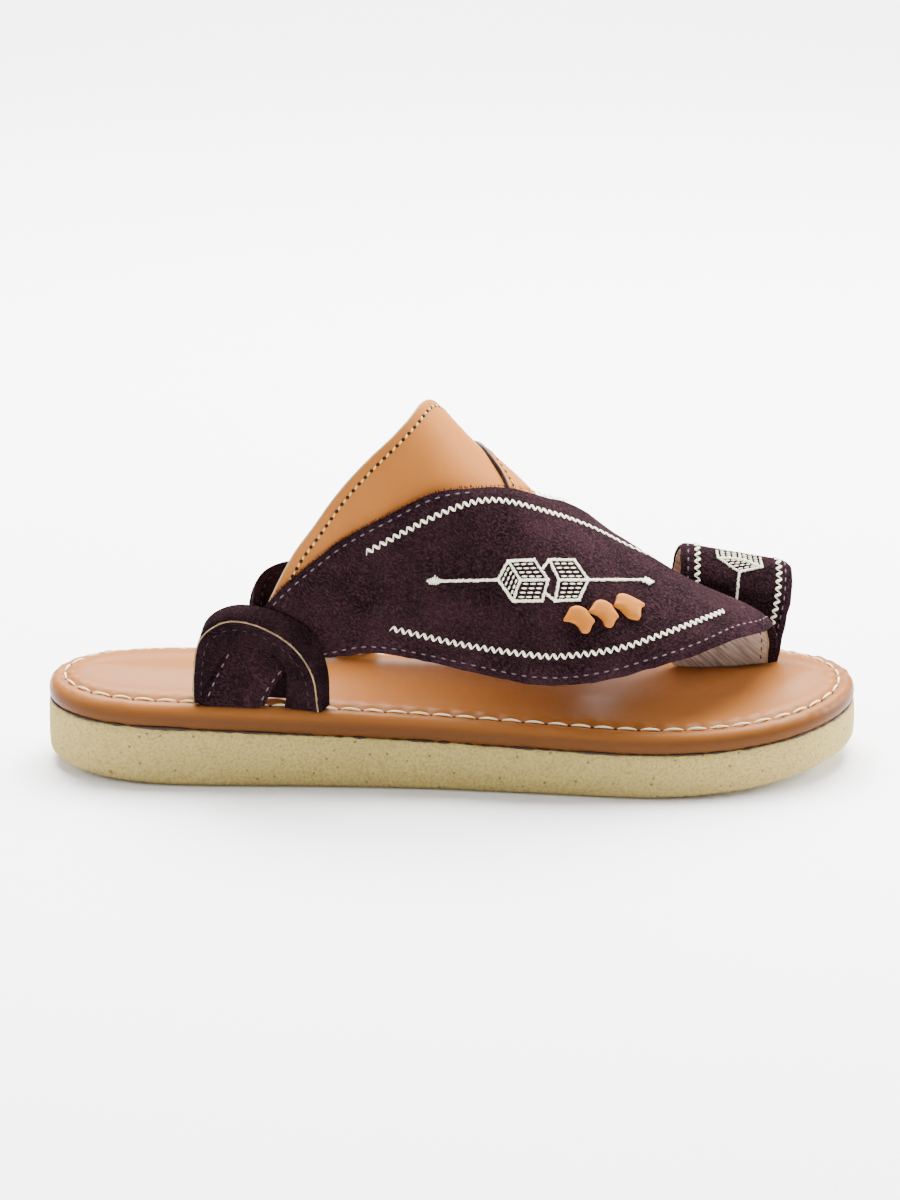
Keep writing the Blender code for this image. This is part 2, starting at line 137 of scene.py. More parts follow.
# Last: elliptical sections over the insole, from the heel end to the toes
LAST_CLEARANCE = 12.0
LAST_SECTIONS = (
    # x, outer side y, ridge y, inner side y, toe cleft y, ridge z
    (-100.0, -22.0, -2.5, 16.0, 16.0, 159.0),
    (-66.0, -22.0, -2.0, 17.0, 17.0, 153.0),
    (-40.0, -25.0, 1.0, 17.8, 17.8, 145.0),
    (-20.0, -29.0, 3.0, 21.0, 21.0, 133.5),
    (-8.0, -32.0, 4.0, 24.8, 24.8, 124.8),
    (6.0, -34.5, 4.5, 30.0, 30.0, 109.8),
    (20.0, -37.0, 5.0, 33.5, 33.5, 96.2),
    (31.0, -38.5, 5.0, 35.5, 35.5, 85.2),
    (51.0, -40.0, 5.0, 37.5, 36.5, 70.2),
    (61.0, -40.0, 4.8, 38.3, 28.0, 65.4),
    (71.0, -39.5, 4.5, 38.5, 16.0, 61.2),
    (82.0, -38.0, 4.5, 38.5, 10.6, 57.0),
    (96.0, -33.5, 4.5, 36.5, 10.0, 50.0),
    (109.0, -26.5, 4.5, 31.5, 10.0, 42.5),
    (120.0, -18.5, 4.5, 25.5, 10.0, 35.0),
)
OUTER_SIDE = -1.0
INNER_SIDE = 1.0
INNER_FORWARD = 15.5

# Crossed instep straps, 1.8 mm leather; the upper one is a step in the wall over the lower one
LOWER_STRAP_THICK = 1.8
UPPER_STRAP_THICK = 2.3
LOWER_STRAP = (
    # front edge x and angle, rear edge x and angle, lifts of both, from the outer ear over the ridge
    (-47.0, -83.0, -66.0, -80.0, 0.0, 0.0),
    (-33.0, -78.0, -54.7, -67.5, 0.0, 0.0),
    (-16.0, -73.0, -44.5, -58.5, 0.0, 0.0),
    (5.0, -60.0, -24.6, -38.0, 0.0, 0.0),
    (22.0, -38.0, -15.0, -23.0, 0.0, 0.0),
    (33.0, -18.0, -8.5, -2.0, 0.0, 0.0),
    (45.0, 22.0, 3.0, 27.0, 0.0, 0.0),
    (50.0, 58.0, 15.0, 56.0, 0.0, 0.0),
    (49.0, 76.0, 24.0, 76.0, 0.0, 0.0),
)
UPPER_STRAP = (
    # front edge x and angle, rear edge x and angle, lifts of both, from the inner ear over the ridge
    (-30.0, 83.0, -49.0, 80.0, 0.0, 0.0),
    (-16.0, 78.0, -38.0, 67.5, 0.0, 0.0),
    (1.0, 73.0, -27.5, 58.5, 0.0, 0.0),
    (20.0, 58.0, -7.0, 38.0, 0.5, 0.3),
    (32.0, 36.0, 3.5, 22.0, 0.9, 0.9),
    (39.0, 14.0, 10.0, 0.0, 0.9, 0.9),
    (46.0, -18.0, 17.0, -15.0, 0.9, 0.9),
    (48.0, -46.0, 22.0, -44.0, 0.9, 0.9),
    (44.0, -76.0, 19.0, -80.0, 0.9, 0.9),
)

# Suede wings, 2.2 mm, over the straps
WING_THICK = 2.2
TAIL_ROWS = 7
INNER_WING_LIFT = 2.7
OUTER_WING = (
    # lower edge x and angle, upper edge x and angle, lift of the lower and the upper edge
    (-65.0, -93.0, -86.2, -92.6, 9.0, 9.0),
    (-61.5, -89.2, -83.0, -88.8, 8.4, 8.4),
    (-57.0, -86.2, -79.0, -85.2, 6.0, 6.0),
    (-53.0, -84.4, -75.5, -82.4, 3.8, 3.8),
    (-49.5, -83.6, -71.0, -80.0, 2.4, 2.4),
    (-45.5, -83.2, -65.5, -77.6, 2.1, 2.1),
    (-41.0, -83.0, -59.7, -73.8, 2.1, 2.1),
    (-25.5, -80.8, -40.8, -63.7, 2.1, 2.1),
    (-7.0, -80.2, -17.5, -50.5, 2.3, 2.3),
    (10.0, -79.8, 1.0, -35.2, 3.2, 3.2),
    (26.5, -79.3, 15.7, -20.3, 3.6, 3.9),
    (42.5, -76.0, 28.5, -5.0, 3.6, 5.6),
    (62.0, -66.8, 43.0, 20.0, 2.8, 7.2),
    (82.0, -52.6, 58.0, 50.0, 2.0, 6.2),
    (96.0, -35.0, 69.0, 74.0, 2.7, 1.6),
    (107.0, -13.0, 75.0, 84.0, 3.4, 0.5),
    (112.4, 40.0, 77.0, 88.0, 0.6, 0.5),
    (112.6, 93.0, 78.0, 93.0, 0.5, 0.5),
)
INNER_WING = (
    # the rows ahead of the tail, which mirrors the outer one: edges and lifts as above
    (-8.0, 80.5, -23.7, 63.5, 2.8, 2.8),
    (10.0, 80.0, -1.0, 50.0, 3.4, 3.4),
    (27.0, 78.0, 16.0, 35.0, 3.5, 3.5),
    (41.0, 69.0, 29.0, 22.0, 3.5, 3.5),
    (48.0, 51.0, 36.0, 15.0, 3.5, 3.5),
    (49.0, 35.0, 40.0, 12.0, 3.5, 3.5),
)

# Ears: suede tabs on the footbed's edge, each a shallow hood with a slot for a wing's tail
EAR_THICK = 2.4
EAR_ROOT_LIFT = 5.2
EAR_RIM_LIFT = 9.8
RIM, ROOT, SLOT = 0, 2, 4
EAR_ARCH = (
    # rim x and z, root x and z, slot x and z, from the front leg over the top to the rear leg
    (-44.0, 27.0, -41.0, 27.0, -55.6, 27.0),
    (-46.0, 40.0, -41.8, 42.0, -54.8, 39.0),
    (-53.0, 50.0, -47.5, 54.0, -57.8, 45.8),
    (-66.0, 57.0, -61.0, 61.0, -66.0, 49.0),
    (-77.0, 58.0, -74.0, 62.5, -73.5, 49.0),
    (-85.5, 52.0, -83.5, 57.0, -79.2, 44.2),
    (-88.0, 40.0, -86.5, 43.0, -83.4, 36.0),
    (-88.3, 27.0, -87.0, 27.0, -87.3, 27.0),
)

# Toe loop: a band over the big toe
LOOP_THICK = 2.4
LOOP_ARCH = (
    # front edge x, y, z and rear edge x, y, z, from the toe cleft over the toe to the inner edge
    (113.5, 13.2, 24.0, 79.5, 14.4, 24.0),
    (115.7, 13.2, 38.0, 79.8, 14.4, 41.0),
    (118.2, 14.6, 52.5, 80.3, 15.6, 58.8),
    (118.7, 25.0, 61.6, 80.7, 26.0, 68.2),
    (115.0, 36.0, 55.0, 79.2, 38.0, 60.6),
    (110.5, 39.4, 40.0, 77.4, 42.0, 42.0),
    (108.5, 38.4, 24.0, 76.5, 41.5, 24.0),
)

# Finer forms of the same pieces
FOAM_RINGS = 14
FOOTBED_RINGS = 32
CROWN_CELLS = 22
NEAR_OUTLINE = 6
RIM_STEPS = 6
RIM_REACH = 0.6
RAW_SHARE = 0.34
FACE, LINING, RAW, EDGE, CUT = 0, 1, 2, 3, 4
TURNED_EDGE = 0.075
TURNED_CUT = 0.018
TURNED_DIP = -0.1
STRAP_GRID = (120, 44, 20)
WING_GRID = (190, 60, 34)
LOOP_GRID = (110, 44, 28)
EAR_STEPS = 110
HOOD_CELLS = 8
FACE_CELLS = 12
WAVE_STEPS = 60
SEAT_REACH = 16.0
LAST_STEP = 0.25
LENGTH_STEPS = 40

# Soft troughs and ridges, listed one by one: along and across the piece, turn, half length, half width,
# height
WING_CREASES = (
    (0.205, 0.55, 70.0, 16.0, 2.2, -0.5),
    (0.245, 0.40, 62.0, 14.0, 2.6, 0.35),
    (0.285, 0.60, 66.0, 15.0, 2.4, -0.35),
    (0.47, 0.20, 20.0, 18.0, 3.4, 0.3),
    (0.56, 0.80, 12.0, 20.0, 3.0, -0.3),
    (0.74, 0.30, -35.0, 14.0, 2.4, -0.4),
    (0.79, 0.22, -42.0, 13.0, 2.2, 0.35),
    (0.84, 0.35, -50.0, 12.0, 2.0, -0.4),
)
STRAP_CREASES = (
    (0.16, 0.45, 80.0, 12.0, 2.5, -0.35),
    (0.24, 0.65, 74.0, 10.0, 2.2, -0.25),
    (0.33, 0.75, 30.0, 16.0, 3.0, 0.3),
)
LOOP_CREASES = (
    (0.30, 0.50, 85.0, 11.0, 2.6, -0.35),
    (0.60, 0.45, 80.0, 12.0, 2.8, -0.35),
)

# Embroidery on the outer wing and the toe loop, by pixels of the photo
UPPER_ZIGZAG = ((365, 553), (447, 511), (493, 500), (548, 512), (589, 526), (631, 547), (662, 561))
LOWER_ZIGZAG = ((390, 628), (460, 644), (540, 656), (567, 656), (621, 648), (674, 630), (724, 611))
CUBES = {
    "left": (498, 580), "top_left": (508, 561), "top_right": (534, 560), "right": (548, 580),
    "low_right": (542, 601), "low_left": (513, 601), "middle": (520, 580),
    "next_top_left": (549, 560), "next_top_right": (574, 560), "next_right": (588, 580),
    "next_low_right": (579, 600), "next_low_left": (555, 601), "next_middle": (559, 580),
    "upper_notch": (543, 568), "lower_notch": (545, 593),
    "line_start": (441, 581), "line_end": (641, 580), "bud_start": (428, 581), "bud_end": (653, 582),
}
CUBE_BARS = (
    ("left", "top_left"), ("top_left", "top_right"), ("top_right", "right"), ("right", "low_right"),
    ("low_right", "low_left"), ("low_left", "left"), ("middle", "top_left"), ("middle", "right"),
    ("middle", "low_left"), ("next_top_left", "next_top_right"), ("next_top_right", "next_right"),
    ("next_right", "next_low_right"), ("next_low_right", "next_low_left"), ("next_middle", "next_top_left"),
    ("next_middle", "next_right"), ("next_middle", "next_low_left"), ("next_top_left", "upper_notch"),
    ("next_low_left", "lower_notch"), ("line_start", "left"), ("next_right", "line_end"),
)
CUBE_BUDS = (("bud_start", "line_start"), ("line_end", "bud_end"))
CUBE_FACES = (
    # corners of a hatched face; the bars run from the first corner's side to the second's
    ("top_left", "top_right", "right", "middle"),
    ("middle", "right", "low_right", "low_left"),
    ("left", "top_left", "middle", "low_left"),
    ("next_top_left", "next_top_right", "next_right", "next_middle"),
    ("next_middle", "next_right", "next_low_right", "next_low_left"),
)
LOOP_CUBE = {
    "top_left": (716, 548), "left": (718, 558), "low": (739, 572), "right": (762, 567),
    "top_right": (759, 555), "top": (739, 551), "middle": (740, 559), "stem_end": (736, 605),
}
LOOP_BARS = (
    ("top_left", "left"), ("left", "low"), ("low", "right"), ("right", "top_right"), ("left", "middle"),
    ("middle", "right"), ("middle", "top"), ("low", "stem_end"),
)
LOOP_FACES = (
    ("top_left", "top", "middle", "left"), ("left", "middle", "right", "low"),
    ("top", "top_right", "right", "middle"),
)
HATCH_ROWS = 4
HATCH_DASHES = 3

# Three padded leather waves, sewn on the outer wing
SLIDE_ROUNDS = 3
PADDED_WAVE = (
    # share of the outline, height above the suede
    (0.0, GAP),
    (1.0, GAP),
    (1.01, 0.7),
    (1.0, 1.15),
    (0.965, 1.5),
    (0.86, 1.95),
    (0.82, 2.05),
    (0.66, 2.25),
    (0.40, 2.4),
    (0.0, 2.45),
)
SHARP_WAVE = (
    # forward and upward from the wave's middle; two close points make a corner
    (-5.3, -0.4),
    (-4.3, 1.5),
    (-3.0, 3.8),
    (-1.6, 4.5),
    (-0.3, 4.6),
    (1.3, 4.2),
    (2.6, 3.4),
    (3.5, 2.1),
    (5.4, -0.3),
    (5.4, -0.6),
    (4.5, -1.8),
    (4.0, -2.9),
    (3.6, -4.0),
    (2.9, -4.6),
    (1.9, -4.7),
    (0.8, -4.2),
    (0.1, -3.0),
    (-0.8, -2.0),
    (-2.0, -1.3),
    (-3.5, -0.9),
    (-5.2, -0.7),
)
LAST_WAVE = (
    (-5.7, 0.1),
    (-4.8, 1.9),
    (-4.4, 3.4),
    (-3.9, 4.3),
    (-2.3, 4.8),
    (0.2, 4.3),
    (3.3, 2.9),
    (5.9, 1.3),
    (6.0, 1.0),
    (4.7, 0.1),
    (4.1, -1.2),
    (3.7, -3.6),
    (2.9, -4.7),
    (2.2, -4.8),
    (-0.4, -4.3),
    (-2.2, -2.6),
    (-3.8, -1.0),
    (-5.6, -0.2),
)
WAVES = (
    # along and across the wing's own grid, turn upward in degrees, outline
    (0.5955, 0.292, 0.0, SHARP_WAVE),
    (0.6345, 0.296, -4.0, SHARP_WAVE),
    (0.682, 0.290, 6.0, LAST_WAVE),
)

# Leather sheets: seams, from the edge, on the tail and along the near and the far edge; rolled, uneven edges
PLAIN_SEAMS = (1.9, 1.9, 1.9)
LOOP_SEAMS = (2.0, 2.0, 2.0)
WING_SEAMS = (1.2, 2.3, 1.5)
TAIL_SHARE = (0.12, 0.24)
STRAP_CHANNEL = 0.18
SUEDE_CHANNEL = 0.3
CHANNEL_HALF = 0.9
EDGE_ROLL = 1.1
CREASE_CUTOFF = 6.0
WAVINESS = 0.3
WAVINESS_SPAN = 13.0
STRAP_CALM = 0.3
CUT_WOBBLE = 0.3
CUT_SPAN = 4.0
CUT_LAYER = 9.0
CUT_FADE = 2.0
SHEET_SEEDS = {"strap_lower": 1.5, "strap_upper": 2.5, "wing_outer": 3.5, "wing_inner": 4.5, "toe_loop": 5.5}
STRAPS = {"strap_lower": (LOWER_STRAP, LOWER_STRAP_THICK), "strap_upper": (UPPER_STRAP, UPPER_STRAP_THICK)}

# Foam sole: its ragged upper edge, and the cement squeezed out over it
FOAM_RAGGED = 0.35
FOAM_RAGGED_RISE = (0.7, 1.0)
FOAM_SPAN = 5.0
CEMENT_INSET = 1.0
CEMENT_LIFT = 0.15
CEMENT_SIDES = 8
CEMENT_SIZE = 0.45
CEMENT_LEAST = 0.7
CEMENT_ROUGH = 1.1
CEMENT_SLOW = 0.6
CEMENT_SPANS = (3.4, 11.0)
CEMENT_HEEL = 0.5
CEMENT_HEEL_X = (-40.0, -110.0)

# Footbed: the seam's channel, which beats with the stitches, its puckers, and the wrinkles of the rolled edge
CHANNEL_DROP = 1.1
CHANNEL_WIDE = 1.5
CHANNEL_FADE = 2.6
CHANNEL_BEAT = 0.2
CHANNEL_REST = 1.0 - CHANNEL_BEAT
PUCKER = 0.36
PUCKER_INSET = 2.6
PUCKER_HALF = 1.8
ROLL_WRINKLE = 0.65
ROLL_INSET = 2.0
ROLL_HALF = 2.2
ROLL_SPANS = (2.6, 7.0)
TOE_WRINKLES = (85.0, 125.0)
HEEL_WRINKLES = (-90.0, -125.0)
HEEL_WRINKLE_SHARE = 0.7
FOOTBED_WAVY = 0.12
FOOTBED_SPANS = (9.0, 5.0)
SEWN_HEIGHTS = (2.0, 6.5)
CROWN_WAVY = 0.25
CROWN_SPAN = 22.0
CROWN_FOLDS = 3
# Painted shade: the footbed's rolled side is drawn darker, none above the first height over the foam and
# fully below the second
PAINTED_SIDE_SHADE = "burnish"
SIDE_SHADE_HEIGHTS = (8.0, 3.5)

# Ears: the hood ends short of the rim, where the raw lip starts; a suede backing lies behind the slot
EAR_HOOD_END = 0.94
EAR_FACE_START = 0.14
EAR_LIP = (
    # lift over the rim, distance inwards, finish of the strip that follows
    (-0.3, 0.0, RAW),
    (0.15, 0.2, RAW),
    (0.1, 0.45, FACE),
)
EAR_SLOT_EDGE = (
    # the same, round the slot
    (-0.5, 0.35, FACE),
    (-1.3, 0.45, RAW),
    (0.3 - EAR_THICK, 0.3, RAW),
    (-EAR_THICK, 0.0, LINING),
)
LIP_RAGGED = 0.3
LIP_SPAN = 1.7
LIP_LAYER = 7.0
BACKING_CELLS = 12
BACKING_LIFTS = (4.2, 1.0)
BACKING_BEND = (0.09, 0.20)
BACKING_THICK = 0.7
BACKING_SPAN = (0.03, 0.21)

# Stitches and needle holes: a thread is its width, height and bow
BEAD_CELLS = (8, 6)
EDGE_STEPS = 120
FOOTBED_THREAD = (0.7, 0.85, 0.45)
FOOTBED_THREAD_LIFT = 0.2
FOOTBED_HOLE = (0.8, 0.4, 0.0)
FOOTBED_HOLE_LIFT = 0.05
FOOTBED_HOLE_HALF = 0.5
STRAP_SEWN = (0.04, 0.96)
STRAP_THREAD = (0.7, 0.6, 0.0)
STRAP_THREAD_LIFT = 0.1
STRAP_THREAD_HALF = 0.75
STRAP_THREAD_SLANT = 0.25
STRAP_HOLE = (1.25, 0.35, 0.0)
STRAP_HOLE_HALF = 0.65
DASHES = (0.03, 0.97)
SHORT_DASHES = (0.03, 0.45)
DASH_LIFT = 0.12
EDGE_THREAD = (0.55, 0.42, 0.0)
EAR_THREAD = (0.45, 0.4, 0.0)
EAR_STITCH_INSET = 3.2
EAR_SEAM_STEPS = 60
LINING_THREAD = (0.6, 0.35, 0.0)
LINING_SEAM = (0.945, 0.99)
LINING_SEAM_SHARE = 0.13
LINING_SEAM_STEPS = 40

# Threads of the embroidery, and loose fibres of the suede
THREAD_SEED = 7
PIXEL_STEP = 3
ZIGZAG_LEAF = 1.05
ZIGZAG_RETURN = 0.35
ZIGZAG_HEIGHT = 0.75
ZIGZAG_LIFT = 0.12
LOOP_ZIGZAG_INSETS = (4.4, 5.3)
LOOP_ZIGZAG_SPAN = (0.16, 0.86)
INNER_ZIGZAG_INSET = 7.5
INNER_ZIGZAG_SPAN = (0.30, 0.86)
SATIN_PITCH = 0.72
SATIN_UNEVEN = (0.72, 1.3)
SATIN_SLANT = 0.25
SATIN_LIFT = (0.05, 0.2)
SATIN_THREAD = (0.68, 0.9, 0.0)
LOOP_SATIN_SHARE = 0.9
BUD_SWELL = 2.3
HATCH_FIRST = 0.9
HATCH_SPARE = 0.8
HATCH_SPAN = (0.12, 0.9)
HATCH_BAR = (0.08, 0.86)
HATCH_LIFT = 0.1
HATCH_HEIGHT = 0.5
HATCH_WIDTH = 0.6
LOOP_HATCH_WIDTH = 0.55
FIBRE_SEED = 11
FIBRE_PITCH = 0.4
FIBRE_END = 0.62
FIBRE_ROOT = (0.45, 1.0)
FIBRE_START = 0.6
FIBRE_LENGTH = (0.4, 1.25)
FIBRE_WIDTH = 0.22
FIBRE_SLANT = (-0.6, 0.6)
FIBRE_RISE = (-0.3, 0.4)

# Nap of the suede and wrinkles of the lining, along a turned X, Y and Z; sockets of a colour Mix node
NAP_SWIRL = 5.0
NAP_TURN = 35.0
NAP_SIZE = (0.95, 0.65, 0.45)
WRINKLE_TURN = 40.0
WRINKLE_SIZE = (12.0, 6.0, 0.8)
# Painted highlight: the suede is drawn lighter within this reach of this point, on the outer wing near the
# instep
HIGHLIGHT_SPOT = (29.0, -10.0, 81.0)
HIGHLIGHT_REACH = 17.0
FACTOR, FIRST, SECOND, MIXED = 0, 6, 7, 2

# Stage, in metres and watts
FLOOR_HALF = 4.0
LIGHT_AIM = (0.0, 0.0, 0.05)
BACKDROP_AIM = (0.0, 2.2, 0.0)
WORLD_STRENGTH = 0.58
LIGHTS = (
    # name, place, width and height, power
    ("overhead_softbox", (0.05, 0.5, 1.15), (1.3, 0.8), 105.4),
    ("right_softbox", (1.3, 0.35, 0.5), (0.7, 0.8), 45.9),
    ("left_softbox", (-1.25, -0.15, 0.7), (0.7, 0.8), 10.2),
    ("front_softbox", (0.0, -1.6, 1.0), (1.2, 0.6), 2.7),
    ("backdrop_softbox", (0.0, 2.3, 1.9), (3.0, 1.6), 289.0),
)


def linear(code):
    """An sRGB hex colour as linear red, green and blue."""
    parts = [int(code[k:k + 2], 16) / 255 for k in (1, 3, 5)]
    return tuple(part / 12.92 if part <= 0.04045 else ((part + 0.055) / 1.055) ** 2.4 for part in parts)


def cell(knots, at):
    """The step of a rising run of knots in which a value lies."""
    return min(max(bisect.bisect_right(knots, at) - 1, 0), len(knots) - 2)


def through(knots, values, at):
    """Read a smooth curve that passes through the given values at the given knots."""
    at = min(max(at, knots[0]), knots[-1])
    k = cell(knots, at)

    def slope(i):
        low, high = max(i - 1, 0), min(i + 1, len(knots) - 1)
        return (values[high] - values[low]) / (knots[high] - knots[low])

    span = knots[k + 1] - knots[k]
    t = (at - knots[k]) / span
    start, end = slope(k) * span, slope(k + 1) * span
    rise = values[k + 1] - values[k]
    return values[k] + t * (start + t * (3 * rise - 2 * start - end + t * (start + end - 2 * rise)))


def column(table, index):
    return [row[index] for row in table]


def table_value(table, at):
    """Read a table of places and values as a smooth curve."""
    return through(column(table, 0), column(table, 1), at)


def mix(a, b, share):
    return a + (b - a) * share


def ease(low, high, at):
    """Rise smoothly from 0 to 1 between two values."""
    share = min(max((at - low) / (high - low), 0.0), 1.0)
    return share * share * (3 - 2 * share)


def hump(distance, half_width):
    return math.exp(-((distance / half_width) ** 2))


def uneven(x, y, z):
    """Smooth noise, from about -1 to 1; the last number picks a layer of it for one use."""
    return noise.noise(Vector((x, y, z)))


def distances(points):
    """Distance along a run of points to each of them."""
    reach = [0.0]
    for a, b in zip(points, points[1:]):
        reach.append(reach[-1] + (b - a).length)
    return reach


def closed_curve(points, steps):
    """Sample a smooth closed curve through flat points, with the given steps between neighbours."""
    count = len(points)
    samples = []
    for i in range(count):
        a, b, c, d = [Vector(points[(i + k) % count]) for k in (-1, 0, 1, 2)]
        ta = 0.0
        tb = ta + math.sqrt((b - a).length)
        tc = tb + math.sqrt((c - b).length)
        td = tc + math.sqrt((d - c).length)
        for step in range(steps):
            t = mix(tb, tc, step / steps)
            ab = a.lerp(b, (t - ta) / (tb - ta))
            bc = b.lerp(c, (t - tb) / (tc - tb))
            cd = c.lerp(d, (t - tc) / (td - tc))
            abc = ab.lerp(bc, (t - ta) / (tc - ta))
            bcd = bc.lerp(cd, (t - tb) / (td - tb))
            samples.append(abc.lerp(bcd, (t - tb) / (tc - tb)))
    return samples


def evenly(points, steps):
    """Resample an open run of points into equal steps."""
    reach = distances(points)
    picked = []
    for step in range(steps + 1):
        at = reach[-1] * step / steps
        k = cell(reach, at)
        picked.append(points[k].lerp(points[k + 1], (at - reach[k]) / (reach[k + 1] - reach[k])))
    return picked


def sole_outline():
    """The foot's outline: the outer side from heel to toe, then the inner side back to the heel."""
    outer = [(x, y) for x, y, _ in SOLE_STATIONS]
    inner = [(x, y) for x, _, y in reversed(SOLE_STATIONS)]
    dense = closed_curve([HEEL_TIP, *outer, TOE_TIP, *inner], CURVE_STEPS)
    toe = CURVE_STEPS * (len(outer) + 1)
    outer_side = evenly(dense[: toe + 1], SIDE_STEPS)
    inner_side = evenly(dense[toe:] + dense[:1], SIDE_STEPS)
    return outer_side[:-1] + inner_side[:-1]


OUTLINE = sole_outline()
COARSE_OUTLINE = OUTLINE[::NEAR_OUTLINE]
OUTLINE_REACH = distances([*OUTLINE, OUTLINE[0]])


def inset_outline(inset):
    """The outline moved inwards."""
    ring = []
    for i, point in enumerate(OUTLINE):
        run = OUTLINE[(i + 1) % len(OUTLINE)] - OUTLINE[i - 1]
        ring.append(point + Vector((-run.y, run.x)).normalized() * inset)
    return ring


def sole_top(x):
    return table_value(SOLE_TOP, x)


def sole_bottom(x):
    """Flat under heel and ball, rising to the heel's end and to the toe."""
    heel, ball = FLAT_X
    if x < heel:
        return HEEL_SPRING * ((heel - x) / (heel + HALF_LENGTH)) ** 2
    return TOE_SPRING * max(0.0, (x - ball) / (HALF_LENGTH - ball)) ** 2


def cushion(x):
    return table_value(CUSHION, x)


def inset_at(x, y):
    """How far a point of the plan lies inside the outline."""
    here = Vector((x, y))
    nearest = math.inf
    for a, b in zip(COARSE_OUTLINE, COARSE_OUTLINE[1:] + COARSE_OUTLINE[:1]):
        run = b - a
        share = min(max((here - a).dot(run) / run.dot(run), 0.0), 1.0)
        nearest = min(nearest, (here - a - run * share).length)
    return nearest


def insole_top(x, y):
    """Height of the footbed's upper face."""
    upper = INSOLE_EDGE[2:]
    inset = inset_at(x, y)
    lip = upper[-1][0]
    height = table_value(upper, inset)
    height += INSOLE_CROWN * min(1.0, max(0.0, inset - lip) / (2 * lip))
    return sole_top(x) + height * cushion(x)


def last_sections():
    """Outer side, ridge, inner side, toe cleft, top and base of the last, at close even steps of x."""
    knots = column(LAST_SECTIONS, 0)
    columns = [column(LAST_SECTIONS, k) for k in range(1, 6)]
    sections = []
    for step in range(round((knots[-1] - knots[0]) / LAST_STEP) + 1):
        x = knots[0] + step * LAST_STEP
        sections.append((*[through(knots, values, x) for values in columns], sole_top(x) + LAST_CLEARANCE))
    return sections


FINE_SECTIONS = last_sections()


def last_section(x):
    """The last's section at x, between two close ones."""
    end = len(FINE_SECTIONS) - 1
    at = min(max((x - LAST_SECTIONS[0][0]) / LAST_STEP, 0.0), end)
    low = min(int(at), end - 1)
    return [mix(a, b, at - low) for a, b in zip(FINE_SECTIONS[low], FINE_SECTIONS[low + 1])]


def last_point(x, angle, cleft):
    """A point of the last: angle -90 is the outer side, 0 the ridge, 90 the inner side or the toe cleft."""
    outer, ridge, inner, fold, top, base = last_section(x)
    turn = math.radians(angle)
    if angle < 0:
        reach = ridge - outer
    else:
        reach = (fold if cleft else inner) - ridge
    return Vector((x, ridge + reach * math.sin(turn), base + (top - base) * math.cos(turn)))


def over_last(x, angle, lift, cleft=False):
    """A point at a height over the last, along its normal."""
    turn = 0.05
    across = last_point(x, angle + turn, cleft) - last_point(x, angle - turn, cleft)
    along = last_point(x + LAST_STEP, angle, cleft) - last_point(x - LAST_STEP, angle, cleft)
    return last_point(x, angle, cleft) + along.cross(across).normalized() * lift


def angle_at(x, z, side):
    """The section angle at which the last's side has a given height."""
    *_, top, base = last_section(x)
    return side * math.degrees(math.acos((z - base) / (top - base)))


def run_lengths(rows, middle):
    """Distances along a table's rows, measured between the rows' middles, from 0 to 1."""
    reach = distances([middle(row) for row in rows])
    return [distance / reach[-1] for distance in reach]


def profile(table, steps):
    """Even stations along a smooth profile through a table of insets and heights."""
    knots = run_lengths(table, Vector)
    return [
        tuple(through(knots, column(table, k), step / steps) for k in range(2)) for step in range(steps + 1)
    ]


def strap_sheet(rows, cleft=False):
    """A leather sheet over the last; each row gives the place and the lift of its two edges."""

    def middle(row):
        return over_last(mix(row[0], row[2], 0.5), mix(row[1], row[3], 0.5), row[4], cleft)

    knots = run_lengths(rows, middle)
    columns = [column(rows, k) for k in range(6)]

    @functools.lru_cache(maxsize=None)
    def row_at(along):
        return [through(knots, values, along) for values in columns]

    def place(along, across, out):
        ax, aa, bx, ba, al, bl = row_at(along)
        return over_last(mix(ax, bx, across), mix(aa, ba, across), mix(al, bl, across) + out, cleft)

    return place


def arch_sheet(near, far, axis, thickness):
    """A band between two edge curves that arch over an axis; its thickness goes towards that axis."""
    rows = list(zip(near, far))
    knots = run_lengths(rows, lambda row: row[0].lerp(row[1], 0.5))
    columns = [[[row[edge][k] for row in rows] for k in range(3)] for edge in (0, 1)]

    @functools.lru_cache(maxsize=None)
    def edges_at(along):
        return [Vector([through(knots, values, along) for values in edge]) for edge in columns]

    def face(along, across):
        a, b = edges_at(along)
        return a.lerp(b, across)

    def place(along, across, out):
        step = 0.004
        run = face(min(along + step, 1.0), across) - face(max(along - step, 0.0), across)
        return face(along, across) + run.cross(axis).normalized() * (thickness - out)

    return place


def seat(point):
    """Keep a point just clear of the footbed."""
    if point.z > sole_top(point.x) + SEAT_REACH:
        return point
    return Vector((point.x, point.y, max(point.z, insole_top(point.x, point.y) + SEAT_GAP)))


def inner_wing_rows():
    """The inner wing's tail mirrors the outer one, further forward."""
    tail = [
        (ax + INNER_FORWARD, -aa, bx + INNER_FORWARD, -ba, max(al, INNER_WING_LIFT), max(bl, INNER_WING_LIFT))
        for ax, aa, bx, ba, al, bl in OUTER_WING[:TAIL_ROWS]
    ]
    return (*tail, *INNER_WING)


